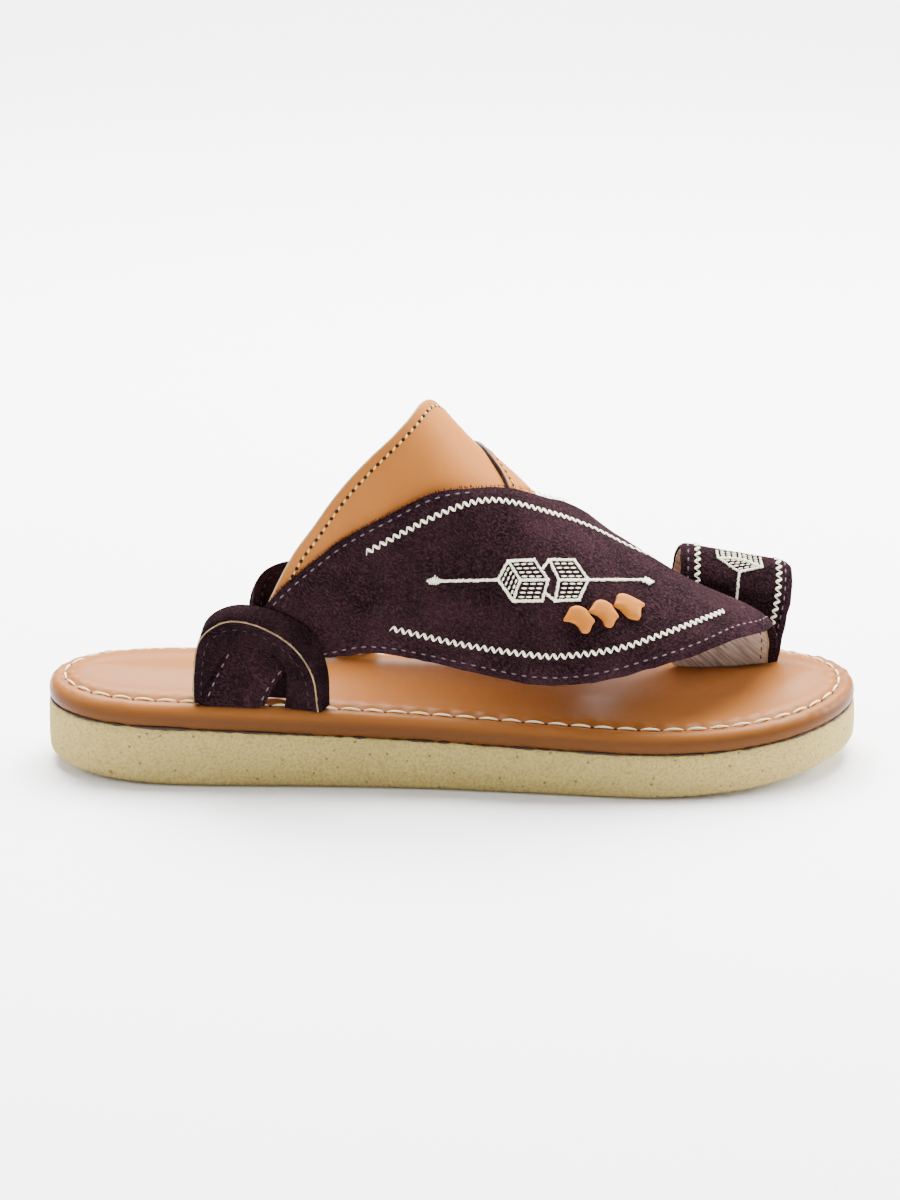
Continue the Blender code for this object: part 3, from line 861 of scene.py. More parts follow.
class Leather:
    """A sheet of leather with a relief on its face, read by its shares along and across."""

    def __init__(self, place, thickness, creases, channel, seed, seams=PLAIN_SEAMS, calm=1.0, roll=0.0):
        self.place = place
        self.thickness = thickness
        self.creases = creases
        self.channel = channel
        self.seed = seed
        self.seams = seams
        self.calm = calm
        self.roll = roll
        self.length = distances([place(k / LENGTH_STEPS, 0.5, 0.0) for k in range(LENGTH_STEPS + 1)])[-1]
        self.width = functools.lru_cache(maxsize=None)(self.measured_width)

    def measured_width(self, along):
        return (self.place(along, 1.0, 0.0) - self.place(along, 0.0, 0.0)).length

    def seam(self, along, far_edge):
        """Distance of a seam from its edge: on the tail, then further on along the near or the far edge."""
        tail, near, far = self.seams
        return mix(tail, far if far_edge else near, ease(*TAIL_SHARE, along))

    def relief(self, along, across):
        """Height added to the face: sewn channels and rolled edges, creases and a slow waviness."""
        width = self.width(along)
        inset = min(across, 1.0 - across) * width
        seam = self.seam(along, across > 0.5)
        height = -self.channel * hump(inset - seam, CHANNEL_HALF)
        height -= self.roll * max(0.0, 1.0 - inset / seam) ** 2
        for near, over, turn, half_length, half_width, rise in self.creases:
            run, side = (along - near) * self.length, (across - over) * width
            if run * run + side * side > CREASE_CUTOFF * half_length * half_length:
                continue
            cosine, sine = math.cos(math.radians(turn)), math.sin(math.radians(turn))
            height += rise * hump(run * cosine + side * sine, half_length) * hump(
                side * cosine - run * sine, half_width)
        wavy = uneven(along * self.length / WAVINESS_SPAN, across * width / WAVINESS_SPAN, self.seed)
        return height + self.calm * WAVINESS * wavy

    def point(self, along, across, height=0.0):
        """A point of the face, or at a height over it."""
        return seat(self.place(along, across, self.thickness + self.relief(along, across) + height))

    def normal(self, along, across):
        return (self.place(along, across, 1.0) - self.place(along, across, 0.0)).normalized()

    def sections(self, grid):
        """Closed sections from one end to the other: face, rounded edge, lining, other edge."""
        steps, face_cells, lining_cells = grid
        stations = [(k / face_cells, 0.0, 1.0) for k in range(face_cells + 1)]
        turns = [math.pi * k / RIM_STEPS for k in range(1, RIM_STEPS)]
        stations += [(1.0, math.sin(turn), 0.5 + 0.5 * math.cos(turn)) for turn in turns]
        stations += [(mix(1.0, TURNED_EDGE, k / lining_cells), 0.0, 0.0) for k in range(lining_cells + 1)]
        turned = len(stations)
        stations += [(TURNED_EDGE - TURNED_CUT, 0.0, TURNED_DIP), (0.0, 0.0, 0.0)]
        stations += [(0.0, -math.sin(turn), 0.5 - 0.5 * math.cos(turn)) for turn in turns]
        finishes = []
        for (_, _, low), (_, _, high) in zip(stations, stations[1:] + stations[:1]):
            height = (low + high) / 2
            finishes.append({0.0: LINING, 1.0: FACE}.get(height, EDGE if height > RAW_SHARE else RAW))
        finishes[turned - 1: turned + 1] = [CUT, FACE]
        finishes[turned + 1:] = [EDGE] * (len(finishes) - turned - 1)
        sections = []
        for step in range(steps + 1):
            along = step / steps
            width = self.width(along)
            section = []
            for share, reach, height in stations:
                wobble = uneven(along * self.length / CUT_SPAN, share * CUT_LAYER, self.seed)
                wobble *= self.calm * CUT_WOBBLE
                fade = hump(min(share, 1.0 - share) * width, CUT_FADE)
                side = -1.0 if share < 0.5 else 1.0
                across = share + (reach * RIM_REACH + side * wobble * fade) / width
                out = height * (self.thickness + self.relief(along, share))
                section.append(seat(self.place(along, across, out)))
            sections.append(section)
        return sections, finishes


@functools.lru_cache(maxsize=None)
def leather_of(name):
    """The sheet of a named piece."""
    seed = SHEET_SEEDS[name]
    if name in STRAPS:
        rows, thickness = STRAPS[name]
        return Leather(strap_sheet(rows), thickness, STRAP_CREASES, STRAP_CHANNEL, seed, calm=STRAP_CALM)
    if name == "toe_loop":
        front, rear = [[Vector(row[edge:edge + 3]) for row in LOOP_ARCH] for edge in (0, 3)]
        band = arch_sheet(front, rear, Vector((1.0, 0.0, 0.0)), LOOP_THICK)
        return Leather(band, LOOP_THICK, LOOP_CREASES, SUEDE_CHANNEL, seed, LOOP_SEAMS, roll=EDGE_ROLL)
    outer = name == "wing_outer"
    leaf = strap_sheet(OUTER_WING if outer else inner_wing_rows(), cleft=outer)
    return Leather(leaf, WING_THICK, WING_CREASES, SUEDE_CHANNEL, seed, WING_SEAMS, roll=EDGE_ROLL)


def placed(name, data):
    """Add an object to the scene."""
    made = bpy.data.objects.new(name, data)
    bpy.context.scene.collection.objects.link(made)
    return made


def finish(name, bm, materials, slot, *nodes):
    """Turn a bmesh in millimetres into a piece in metres that moves with the shoe."""
    bmesh.ops.remove_doubles(bm, verts=bm.verts, dist=MERGE_DISTANCE)
    bmesh.ops.recalc_face_normals(bm, faces=bm.faces)
    bmesh.ops.scale(bm, vec=(MM, MM, MM), verts=bm.verts)
    mesh = bpy.data.meshes.new(name)
    bm.to_mesh(mesh)
    bm.free()
    for material in materials:
        mesh.materials.append(material)
    mesh.shade_smooth()
    mesh.set_sharp_from_angle(angle=math.radians(SHARP_DEGREES))
    piece = placed(name, mesh)
    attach(piece, BODY)
    if nodes:
        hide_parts(*nodes)
    return piece


def add_grid(bm, cells, place, finishes=None):
    """Lay a grid of cells where a function of its two shares puts it; each column may have its own finish."""
    grid = bmesh.ops.create_grid(bm, x_segments=cells[0], y_segments=cells[1], size=0.5)
    if finishes:
        for face in {face for vert in grid["verts"] for face in vert.link_faces}:
            face.material_index = finishes[int((face.calc_center_median().x + 0.5) * cells[0])]
    for vert in grid["verts"]:
        vert.co = place(vert.co.x + 0.5, vert.co.y + 0.5)


def add_rings(bm, rings, finishes=None):
    """Skin a run of closed rings that have the same number of points."""
    count = len(rings[0])

    def place(around, along):
        return rings[round(along * (len(rings) - 1))][round(around * count) % count]

    add_grid(bm, (count, len(rings) - 1), place, finishes)


def add_cap(bm, ring, cells=1, height=None):
    """Close a sole-shaped ring with a grid from its outer to its inner side, flat or raised."""

    def place(along, across):
        step = round(along * SIDE_STEPS)
        outer, inner = ring[step], ring[-step % len(ring)]
        point = outer.lerp(inner, across)
        rise = height(across, point.x, (inner - outer).length) if height else 0.0
        return Vector((point.x, point.y, point.z + rise))

    add_grid(bm, (SIDE_STEPS, cells), place)


def close_ends(bm):
    bmesh.ops.remove_doubles(bm, verts=bm.verts, dist=MERGE_DISTANCE)
    bmesh.ops.holes_fill(bm, edges=[edge for edge in bm.edges if edge.is_boundary])


def bead_matrix(stroke):
    """Stretch a round bead along one stitch: its start, end, normal, width, height and bow."""
    start, end, normal, width, height, _ = stroke
    run = end - start
    side = normal.cross(run).normalized()
    up = run.cross(side).normalized()
    turn = Matrix((run / 2, side * (width / 2), up * (height / 2))).transposed().to_4x4()
    return Matrix.Translation((start + end) / 2) @ turn, up


def sew(name, strokes, material, slot):
    """Join a list of stitches in one piece, each a slim bead of thread that bows up in the middle."""
    bm = bmesh.new()
    around, along = BEAD_CELLS
    bead = bmesh.ops.create_uvsphere(
        bm, u_segments=around, v_segments=along, radius=1.0, matrix=Matrix.Rotation(math.pi / 2, 4, "Y"))
    beads = [bead["verts"]]
    while len(beads) < len(strokes):
        copied = bmesh.ops.duplicate(bm, geom=[*bm.verts, *bm.edges, *bm.faces])["vert_map"]
        beads += [[copied[vert] for vert in verts] for verts in beads]
    spare = [vert for verts in beads[len(strokes):] for vert in verts]
    for verts, stroke in zip(beads, strokes):
        turn, up = bead_matrix(stroke)
        for vert in verts:
            bow = up * stroke[-1] * (1.0 - vert.co.x ** 2)
            vert.co = turn @ vert.co + bow
    bmesh.ops.delete(bm, geom=spare, context="VERTS")
    return finish(name, bm, [material], slot)


def walk(route, pitch, closed=False):
    """Frames at equal steps along a run of points and normals: point, direction, normal."""
    if len(route) < 2:
        return []
    reach = distances([point for point, _ in route])
    count = max(2, round(reach[-1] / pitch))
    frames = []
    for step in range(count if closed else count + 1):
        at = reach[-1] * step / count
        k = cell(reach, at)
        (a, up), (b, next_up) = route[k], route[k + 1]
        share = (at - reach[k]) / (reach[k + 1] - reach[k])
        frames.append((a.lerp(b, share), (b - a).normalized(), up.lerp(next_up, share).normalized()))
    return frames


def edge_route(sheet, span, far_edge, inset=None):
    """A run along one edge of a sheet: its seam, or a line at a given distance inside the edge."""
    route = []
    for step in range(EDGE_STEPS + 1):
        along = mix(*span, step / EDGE_STEPS)
        share = (inset or sheet.seam(along, far_edge)) / sheet.width(along)
        across = 1.0 - share if far_edge else share
        route.append((sheet.point(along, across), sheet.normal(along, across)))
    return route


def photo_route(tree, pixels):
    """A run over a piece, under a line of the photo's pixels."""
    tilt = math.radians(CAMERA_ELEVATION)
    forward = Vector((0.0, math.cos(tilt), -math.sin(tilt)))
    up = Vector((0.0, math.sin(tilt), math.cos(tilt)))
    eye = (Vector(CAMERA_TARGET) - forward * CAMERA_DISTANCE) * MM
    steps = max(2, round(distances([Vector(pixel) for pixel in pixels])[-1] / PIXEL_STEP))
    knots = run_lengths(pixels, Vector)
    route = []
    for step in range(steps + 1):
        px, py = [through(knots, column(pixels, k), step / steps) for k in range(2)]
        ray = forward + Vector((1.0, 0.0, 0.0)) * (px - IMAGE_SIZE[0] / 2) / FOCAL_PIXELS
        ray += up * (IMAGE_SIZE[1] / 2 - py) / FOCAL_PIXELS
        place, normal, _, _ = tree.ray_cast(eye, ray.normalized())
        if place is not None:
            route.append((place / MM, normal))
    return route


def dashes(route, thread_size):
    """A row of running stitches."""
    pitch, length = size_of("dash_pitch"), size_of("dash_length")
    _, height, _ = thread_size
    strokes = []
    for point, run, up in walk(route, pitch):
        base = point + up * height * DASH_LIFT
        strokes.append((base - run * length / 2, base + run * length / 2, up, *thread_size))
    return strokes


def zigzag(route):
    """A zigzag of satin stitches: a bold stroke one way and a thin one back."""
    half_width = size_of("zigzag_reach")
    corners = []
    for step, (point, run, up) in enumerate(walk(route, size_of("zigzag_pitch") / 2)):
        side = up.cross(run).normalized()
        corners.append((point + side * half_width * (1 if step % 2 else -1) + up * ZIGZAG_LIFT, up))
    return [
        (a, b, up, ZIGZAG_LEAF if step % 2 else ZIGZAG_RETURN, ZIGZAG_HEIGHT, 0.0)
        for step, ((a, up), (b, _)) in enumerate(zip(corners, corners[1:]))
    ]


def satin(route, width, chance, swell=0.0):
    """A satin bar: short threads side by side across a line, of uneven length; it may swell like a bud."""
    strokes = []
    frames = walk(route, SATIN_PITCH)
    for step, (point, run, up) in enumerate(frames):
        side = up.cross(run).normalized()
        wide = width + swell * math.sin(math.pi * step / (len(frames) - 1))
        start, end = [wide / 2 * chance.uniform(*SATIN_UNEVEN) for _ in range(2)]
        slant = run * SATIN_SLANT
        base = point + up * chance.uniform(*SATIN_LIFT)
        strokes.append((base - side * start - slant, base + side * end + slant, up, *SATIN_THREAD))
    return strokes


def fibres(sheet, chance):
    """Loose suede fibres that stand out from the upper edge of a sheet, where it lies over the straps."""
    strokes = []
    for step in range(1, round(FIBRE_END * sheet.length / FIBRE_PITCH)):
        along = step * FIBRE_PITCH / sheet.length
        height = chance.uniform(*FIBRE_ROOT) * sheet.thickness
        reach = (RIM_REACH * FIBRE_START + chance.uniform(*FIBRE_LENGTH)) / sheet.width(along)
        root = sheet.place(along, 1.0, height)
        tip = sheet.place(along + chance.uniform(*FIBRE_SLANT) / sheet.length, 1.0 + reach,
                          height + chance.uniform(*FIBRE_RISE))
        strokes.append((seat(root), seat(tip), sheet.normal(along, 1.0), FIBRE_WIDTH, FIBRE_WIDTH, 0.0))
    return strokes


def hatch(tree, corners, width):
    """Fill a four-sided face with rows of short bars."""
    a, b, c, d = [Vector(corner) for corner in corners]
    strokes = []
    for row in range(HATCH_ROWS):
        across = (row + HATCH_FIRST) / (HATCH_ROWS + HATCH_SPARE)
        start, end = a.lerp(d, across), b.lerp(c, across)
        for dash in range(HATCH_DASHES):
            low, high = [mix(*HATCH_SPAN, (dash + share) / HATCH_DASHES) for share in HATCH_BAR]
            route = photo_route(tree, [tuple(start.lerp(end, low)), tuple(start.lerp(end, high))])
            if len(route) > 1:
                lift = route[0][1] * HATCH_LIFT
                strokes.append(
                    (route[0][0] + lift, route[-1][0] + lift, route[0][1], width, HATCH_HEIGHT, 0.0))
    return strokes


def size_of(name):
    """A size that the user may have changed, in millimetres."""
    return getattr(bpy.context.scene.sandal_sizes, name) / MM


def colour_of(name):
    """A colour that the user may have changed."""
    return tuple(getattr(bpy.context.scene.sandal_colours, name))


def tint(colour, factor=1.0):
    """A colour made lighter or darker, with the alpha that a socket takes."""
    return (*[min(1.0, part * factor) for part in colour], 1.0)


def per_mm(size):
    """The texture scale on Object coordinates that gives a pattern of a size in millimetres."""
    return 1.0 / (size * MM)


def plug(tree, node, inputs):
    """Give a node's inputs values or other nodes' outputs."""
    for name, value in inputs.items():
        if isinstance(value, bpy.types.NodeSocket):
            tree.links.new(value, node.inputs[name])
        else:
            node.inputs[name].default_value = value


def add(tree, kind, inputs, **settings):
    """Add a node with its settings and inputs."""
    made = tree.nodes.new(kind)
    for name, value in settings.items():
        setattr(made, name, value)
    plug(tree, made, inputs)
    return made


def started(name):
    """A new material, its node tree, its shader and its Object coordinates."""
    material = bpy.data.materials.new(name)
    material.use_nodes = True
    tree = material.node_tree
    coordinates = tree.nodes.new("ShaderNodeTexCoord").outputs["Object"]
    return material, tree, tree.nodes["Principled BSDF"], coordinates


@functools.lru_cache(maxsize=None)
def foam_rubber():
    """Porous foam rubber, cut from a slab: matt, with fine specks, rare pits darkened with painted shade, and
    a faint dirt tone.
    """
    material, tree, shader, spot = started("foam_rubber")
    foam = colour_of("foam")
    tone = add(tree, "ShaderNodeTexNoise", {"Vector": spot, "Scale": per_mm(22.0), "Detail": 4.0})
    speck = add(tree, "ShaderNodeTexNoise", {"Vector": spot, "Scale": per_mm(0.85), "Detail": 3.0})
    pit = add(tree, "ShaderNodeTexVoronoi", {"Vector": spot, "Scale": per_mm(4.2)})
    dark = add(tree, "ShaderNodeMapRange", {
        "Value": speck.outputs[0], "From Min": 0.30, "From Max": 0.60, "To Min": 0.9, "To Max": 0.0})
    hole = add(tree, "ShaderNodeMapRange", {
        "Value": pit.outputs["Distance"], "From Min": 0.07, "From Max": 0.15, "To Min": 1.0, "To Max": 0.0})
    broad = add(tree, "ShaderNodeMix", {
        FACTOR: tone.outputs[0], FIRST: tint(foam), SECOND: tint(foam, 0.80)}, data_type="RGBA")
    specked = add(tree, "ShaderNodeMix", {
        FACTOR: dark.outputs[0], FIRST: broad.outputs[MIXED], SECOND: tint(foam, 0.52)}, data_type="RGBA")
    # Painted shade in the pits: their centres drawn dark
    pit_shaded = add(tree, "ShaderNodeMix", {
        FACTOR: hole.outputs[0], FIRST: specked.outputs[MIXED], SECOND: tint(foam, 0.36)}, data_type="RGBA")
    height = add(tree, "ShaderNodeMath", {
        0: hole.outputs[0], 1: -1.6, 2: speck.outputs[0]}, operation="MULTIPLY_ADD")
    bump = add(tree, "ShaderNodeBump", {"Height": height.outputs[0], "Strength": 0.55, "Distance": 0.35 * MM})
    plug(tree, shader, {
        "Base Color": pit_shaded.outputs[MIXED], "Normal": bump.outputs[0],
        "Roughness": 0.88, "Specular IOR Level": 0.25})
    return material


@functools.lru_cache(maxsize=None)
def smooth_leather(name, colour_name, roughness, clouds, burnish=0.0):
    """Finished tan cowhide: close pores, a dye that clouds a little, and a satin surface that mirrors softly.

    Where the piece has its side-shade attribute, the colour is drawn darker there: painted shade on the
    footbed's rolled side.
    """
    material, tree, shader, spot = started(name)
    colour = colour_of(colour_name)
    dye = add(tree, "ShaderNodeTexNoise", {"Vector": spot, "Scale": per_mm(26.0), "Detail": 3.0})
    grain = add(tree, "ShaderNodeTexNoise", {"Vector": spot, "Scale": per_mm(0.7), "Detail": 2.0})
    scuff = add(tree, "ShaderNodeTexNoise", {"Vector": spot, "Scale": per_mm(3.2), "Detail": 4.0})
    cloudy = add(tree, "ShaderNodeMix", {
        FACTOR: dye.outputs[0], FIRST: tint(colour, 1.0 + clouds), SECOND: tint(colour, 1.0 - clouds)},
        data_type="RGBA")
    mark = add(tree, "ShaderNodeMapRange", {
        "Value": scuff.outputs[0], "From Min": 0.45, "From Max": 0.75, "To Min": 0.0, "To Max": 1.2 * clouds})
    marked = add(tree, "ShaderNodeMix", {
        FACTOR: mark.outputs[0], FIRST: cloudy.outputs[MIXED], SECOND: tint(colour, 0.7)}, data_type="RGBA")
    gloss = add(tree, "ShaderNodeMapRange", {
        "Value": scuff.outputs[0], "From Min": 0.3, "From Max": 0.7,
        "To Min": roughness - 0.03, "To Max": roughness + 0.05})
    pore = add(tree, "ShaderNodeMath", {
        0: grain.outputs[0], 1: 0.6, 2: scuff.outputs[0]}, operation="MULTIPLY_ADD")
    bump = add(tree, "ShaderNodeBump", {"Height": pore.outputs[0], "Strength": 0.12, "Distance": 0.1 * MM})
    if burnish:
        # Painted shade: the colour is mixed towards a dark copy of itself where the attribute says
        side_shade_share = add(tree, "ShaderNodeAttribute", {}, attribute_name=PAINTED_SIDE_SHADE)
        marked = add(tree, "ShaderNodeMix", {
            FACTOR: side_shade_share.outputs["Fac"], FIRST: marked.outputs[MIXED], SECOND: tint(colour, burnish)},
            data_type="RGBA")
    plug(tree, shader, {
        "Base Color": marked.outputs[MIXED], "Roughness": gloss.outputs[0], "Normal": bump.outputs[0],
        "IOR": 1.5, "Specular IOR Level": 0.06})
    return material


@functools.lru_cache(maxsize=None)
def suede(name="plum_suede", lay=0.9):
    """Napped split leather, dyed plum: short curled fibres that catch the light in streaks and patches.

    The fibres are drawn about twice as coarse as real ones, so that they show. Round one spot on the outer
    wing the suede is drawn lighter: a painted highlight.
    """
    material, tree, shader, spot = started(name)
    patch = add(tree, "ShaderNodeTexNoise", {"Vector": spot, "Scale": per_mm(15.0), "Detail": 3.0})
    swirl = add(tree, "ShaderNodeTexNoise", {"Vector": spot, "Scale": per_mm(8.0), "Detail": 1.0})
    bent = add(tree, "ShaderNodeVectorMath", {
        0: swirl.outputs["Color"], 1: (NAP_SWIRL * MM,) * 3, 2: spot}, operation="MULTIPLY_ADD")
    laid = add(tree, "ShaderNodeMapping", {
        "Vector": bent.outputs[0], "Rotation": (0.0, math.radians(NAP_TURN), 0.0),
        "Scale": [size * MM for size in NAP_SIZE]}, vector_type="TEXTURE")
    nap = add(tree, "ShaderNodeTexNoise", {"Vector": laid.outputs[0], "Scale": 1.0, "Detail": 2.5})
    streak = add(tree, "ShaderNodeMapRange", {
        "Value": nap.outputs[0], "From Min": 0.42, "From Max": 0.70, "To Min": 0.0, "To Max": lay})
    brushed = add(tree, "ShaderNodeMapRange", {
        "Value": patch.outputs[0], "From Min": 0.35, "From Max": 0.70, "To Min": 0.0, "To Max": 0.3})
    # Painted highlight: lighter suede round one spot on the outer wing
    away = add(tree, "ShaderNodeVectorMath", {
        0: spot, 1: [place * MM for place in HIGHLIGHT_SPOT]}, operation="DISTANCE")
    spot_highlight = add(tree, "ShaderNodeMapRange", {
        "Value": away.outputs["Value"], "From Min": 0.0, "From Max": HIGHLIGHT_REACH * MM,
        "To Min": 0.4, "To Max": 0.0}, interpolation_type="SMOOTHSTEP")
    patches = add(tree, "ShaderNodeMath", {0: brushed.outputs[0], 1: spot_highlight.outputs[0]}, operation="ADD")
    lit = add(tree, "ShaderNodeMath", {
        0: patches.outputs[0], 1: streak.outputs[0]}, operation="ADD", use_clamp=True)
    tone = add(tree, "ShaderNodeMix", {
        FACTOR: lit.outputs[0], FIRST: tint(colour_of("suede")), SECOND: tint(colour_of("suede_light"))},
        data_type="RGBA")
    bump = add(tree, "ShaderNodeBump", {"Height": nap.outputs[0], "Strength": 0.8, "Distance": 0.6 * MM})
    plug(tree, shader, {
        "Base Color": tone.outputs[MIXED], "Normal": bump.outputs[0],
        "Roughness": 0.95, "Specular IOR Level": 0.01})
    return material


@functools.lru_cache(maxsize=None)
def lining_leather():
    """Pigskin lining: dull grey-tan, with dark drawn wrinkles that slant down towards the toe."""
    material, tree, shader, spot = started("lining_pigskin")
    lining = colour_of("lining")
    laid = add(tree, "ShaderNodeMapping", {
        "Vector": spot, "Rotation": (0.0, math.radians(WRINKLE_TURN), 0.0),
        "Scale": [size * MM for size in WRINKLE_SIZE]}, vector_type="TEXTURE")
    wrinkle = add(tree, "ShaderNodeTexNoise", {
        "Vector": laid.outputs[0], "Scale": 1.0, "Detail": 3.0, "Distortion": 0.4})
    drawn = add(tree, "ShaderNodeMapRange", {
        "Value": wrinkle.outputs[0], "From Min": 0.36, "From Max": 0.60, "To Min": 0.0, "To Max": 1.0})
    tone = add(tree, "ShaderNodeMix", {
        FACTOR: drawn.outputs[0], FIRST: tint(lining, 0.58), SECOND: tint(lining, 1.15)}, data_type="RGBA")
    bump = add(tree, "ShaderNodeBump", {"Height": wrinkle.outputs[0], "Strength": 0.6, "Distance": 0.5 * MM})
    plug(tree, shader, {
        "Base Color": tone.outputs[MIXED], "Normal": bump.outputs[0],
        "Roughness": 0.75, "Specular IOR Level": 0.25})
    return material


@functools.lru_cache(maxsize=None)
def plain_leather(name, colour_name, grain, roughness):
    """Unfinished split leather, as on flesh sides and cut edges: dull, with short fibres across it."""
    material, tree, shader, spot = started(name)
    colour = colour_of(colour_name)
    tone = add(tree, "ShaderNodeTexNoise", {"Vector": spot, "Scale": per_mm(7.0), "Detail": 4.0})
    fibre = add(tree, "ShaderNodeTexNoise", {"Vector": spot, "Scale": per_mm(grain), "Detail": 3.0})
    both = add(tree, "ShaderNodeMath", {0: tone.outputs[0], 1: fibre.outputs[0]}, operation="MULTIPLY")
    spread = add(tree, "ShaderNodeMapRange", {
        "Value": both.outputs[0], "From Min": 0.12, "From Max": 0.40, "To Min": 0.0, "To Max": 1.0})
    mottled = add(tree, "ShaderNodeMix", {
        FACTOR: spread.outputs[0], FIRST: tint(colour, 0.78), SECOND: tint(colour, 1.16)}, data_type="RGBA")
    bump = add(tree, "ShaderNodeBump", {"Height": fibre.outputs[0], "Strength": 0.4, "Distance": 0.2 * MM})
    plug(tree, shader, {
        "Base Color": mottled.outputs[MIXED], "Normal": bump.outputs[0],
        "Roughness": roughness, "Specular IOR Level": 0.25})
    return material


@functools.lru_cache(maxsize=None)
def thread(name, colour_name):
    """Twisted polyester sewing thread: bright, with a slight lustre and a fine ply."""
    material, tree, shader, spot = started(name)
    colour = colour_of(colour_name)
    ply = add(tree, "ShaderNodeTexNoise", {"Vector": spot, "Scale": per_mm(0.5), "Detail": 2.0})
    tone = add(tree, "ShaderNodeMix", {
        FACTOR: ply.outputs[0], FIRST: tint(colour, 0.80), SECOND: tint(colour, 1.12)}, data_type="RGBA")
    bump = add(tree, "ShaderNodeBump", {"Height": ply.outputs[0], "Strength": 0.4, "Distance": 0.12 * MM})
    plug(tree, shader, {
        "Base Color": tone.outputs[MIXED], "Normal": bump.outputs[0],
        "Roughness": 0.6, "Specular IOR Level": 0.12})
    return material


def needle_hole():
    return plain_leather("needle_hole", "hole", grain=0.8, roughness=0.9)


def raw_leather():
    return plain_leather("raw_leather_edge", "raw_edge", grain=0.6, roughness=0.85)


@functools.lru_cache(maxsize=None)
def studio_paper():
    """Matt white background paper, faintly mottled."""
    material, tree, shader, spot = started("studio_paper")
    floor = colour_of("floor")
    mottle = add(tree, "ShaderNodeTexNoise", {"Vector": spot, "Scale": per_mm(60.0), "Detail": 2.0})
    tone = add(tree, "ShaderNodeMix", {
        FACTOR: mottle.outputs[0], FIRST: tint(floor), SECOND: tint(floor, 0.99)}, data_type="RGBA")
    plug(tree, shader, {
        "Base Color": tone.outputs[MIXED], "Roughness": 0.8, "Specular IOR Level": 0.1})
    return material


def length_choice(name, description, size, low, high):
    """A length that a user may change; its default and limits are given in millimetres."""
    return bpy.props.FloatProperty(
        name=name, description=description, default=size * MM, min=low * MM, max=high * MM,
        unit="LENGTH", precision=5)


def colour_choice(name, description, code):
    """A colour that a user may change; its default is given as an sRGB hex value."""
    return bpy.props.FloatVectorProperty(
        name=name, description=description, subtype="COLOR", default=linear(code))


class SandalSizes(bpy.types.PropertyGroup):
    """Sizes of the sandal's sewing."""

    footbed_pitch: length_choice(
        "Footbed stitch pitch", "Distance between the footbed's long stitches", 7.8, 3, 15)
    footbed_inset: length_choice(
        "Footbed stitch inset", "Distance of the footbed's stitches from the sole's outline", 5.7, 3, 9)
    dash_pitch: length_choice(
        "Edge stitch pitch", "Distance between the stitches along suede edges", 3.5, 1, 8)
    dash_length: length_choice(
        "Edge stitch length", "Length of a stitch along a suede edge", 1.8, 0.5, 6)
    zigzag_pitch: length_choice(
        "Zigzag pitch", "Distance between the peaks of the embroidered zigzags", 2.6, 1, 8)
    zigzag_reach: length_choice("Zigzag reach", "Half the width of the embroidered zigzags", 1.1, 0.5, 4)
    satin_width: length_choice(
        "Satin bar width", "Width of the bars of the embroidered cubes", 1.07, 0.5, 4)
    strap_pitch: length_choice(
        "Strap stitch pitch", "Distance between the stitches along the tan straps", 3.0, 1, 6)
    strap_inset: length_choice(
        "Strap stitch inset", "Distance of the straps' stitches from their edges", 3.2, 1, 8)


class SandalColours(bpy.types.PropertyGroup):
    """Colours of the sandal's materials."""

    foam: colour_choice("Foam", "Foam rubber of the sole", "#B09B5D")
    footbed: colour_choice("Footbed", "Smooth leather of the footbed", "#8A5529")
    strap: colour_choice("Straps", "Smooth leather of the straps", "#A0622B")
    suede: colour_choice("Suede", "Suede in the shade of its nap", "#0C0709")
    # Also the colour of the painted highlight on the outer wing
    suede_light: colour_choice("Brushed suede", "Suede where the nap is brushed up", "#342126")
    lining: colour_choice("Lining", "Leather inside the wings and the loop", "#A28D7F")
    raw_edge: colour_choice("Raw edge", "Cut edge of the leather", "#967F5A")
    wave: colour_choice("Waves", "Padded leather waves", "#A16224")
    cream: colour_choice("Cream thread", "Thread of the embroidery", "#FFF7DA")
    grey: colour_choice("Grey thread", "Thread along the suede edges", "#5E515A")
    # Painted shade: the ears' thread is the grey thread drawn darker for the shade it lies in
    dark_thread: colour_choice("Dark thread", "Thread on the ears", "#2C2429")
    brown_thread: colour_choice("Brown thread", "Thread on the lining", "#5F3C20")
    paint: colour_choice("Edge paint", "Paint on the upper strap's edges", "#1F1310")
    waxed: colour_choice("Waxed thread", "Long stitches of the footbed", "#FFECC4")
    yellow: colour_choice("Yellow thread", "Thread on the tan leather", "#D6B263")
    hole: colour_choice("Needle hole", "Shade in the needle holes", "#140C07")
    cement: colour_choice("Cement", "Dried cement between sole and footbed", "#2C1D14")
    floor: colour_choice("Floor", "Pale studio floor", "#FAFAFA")


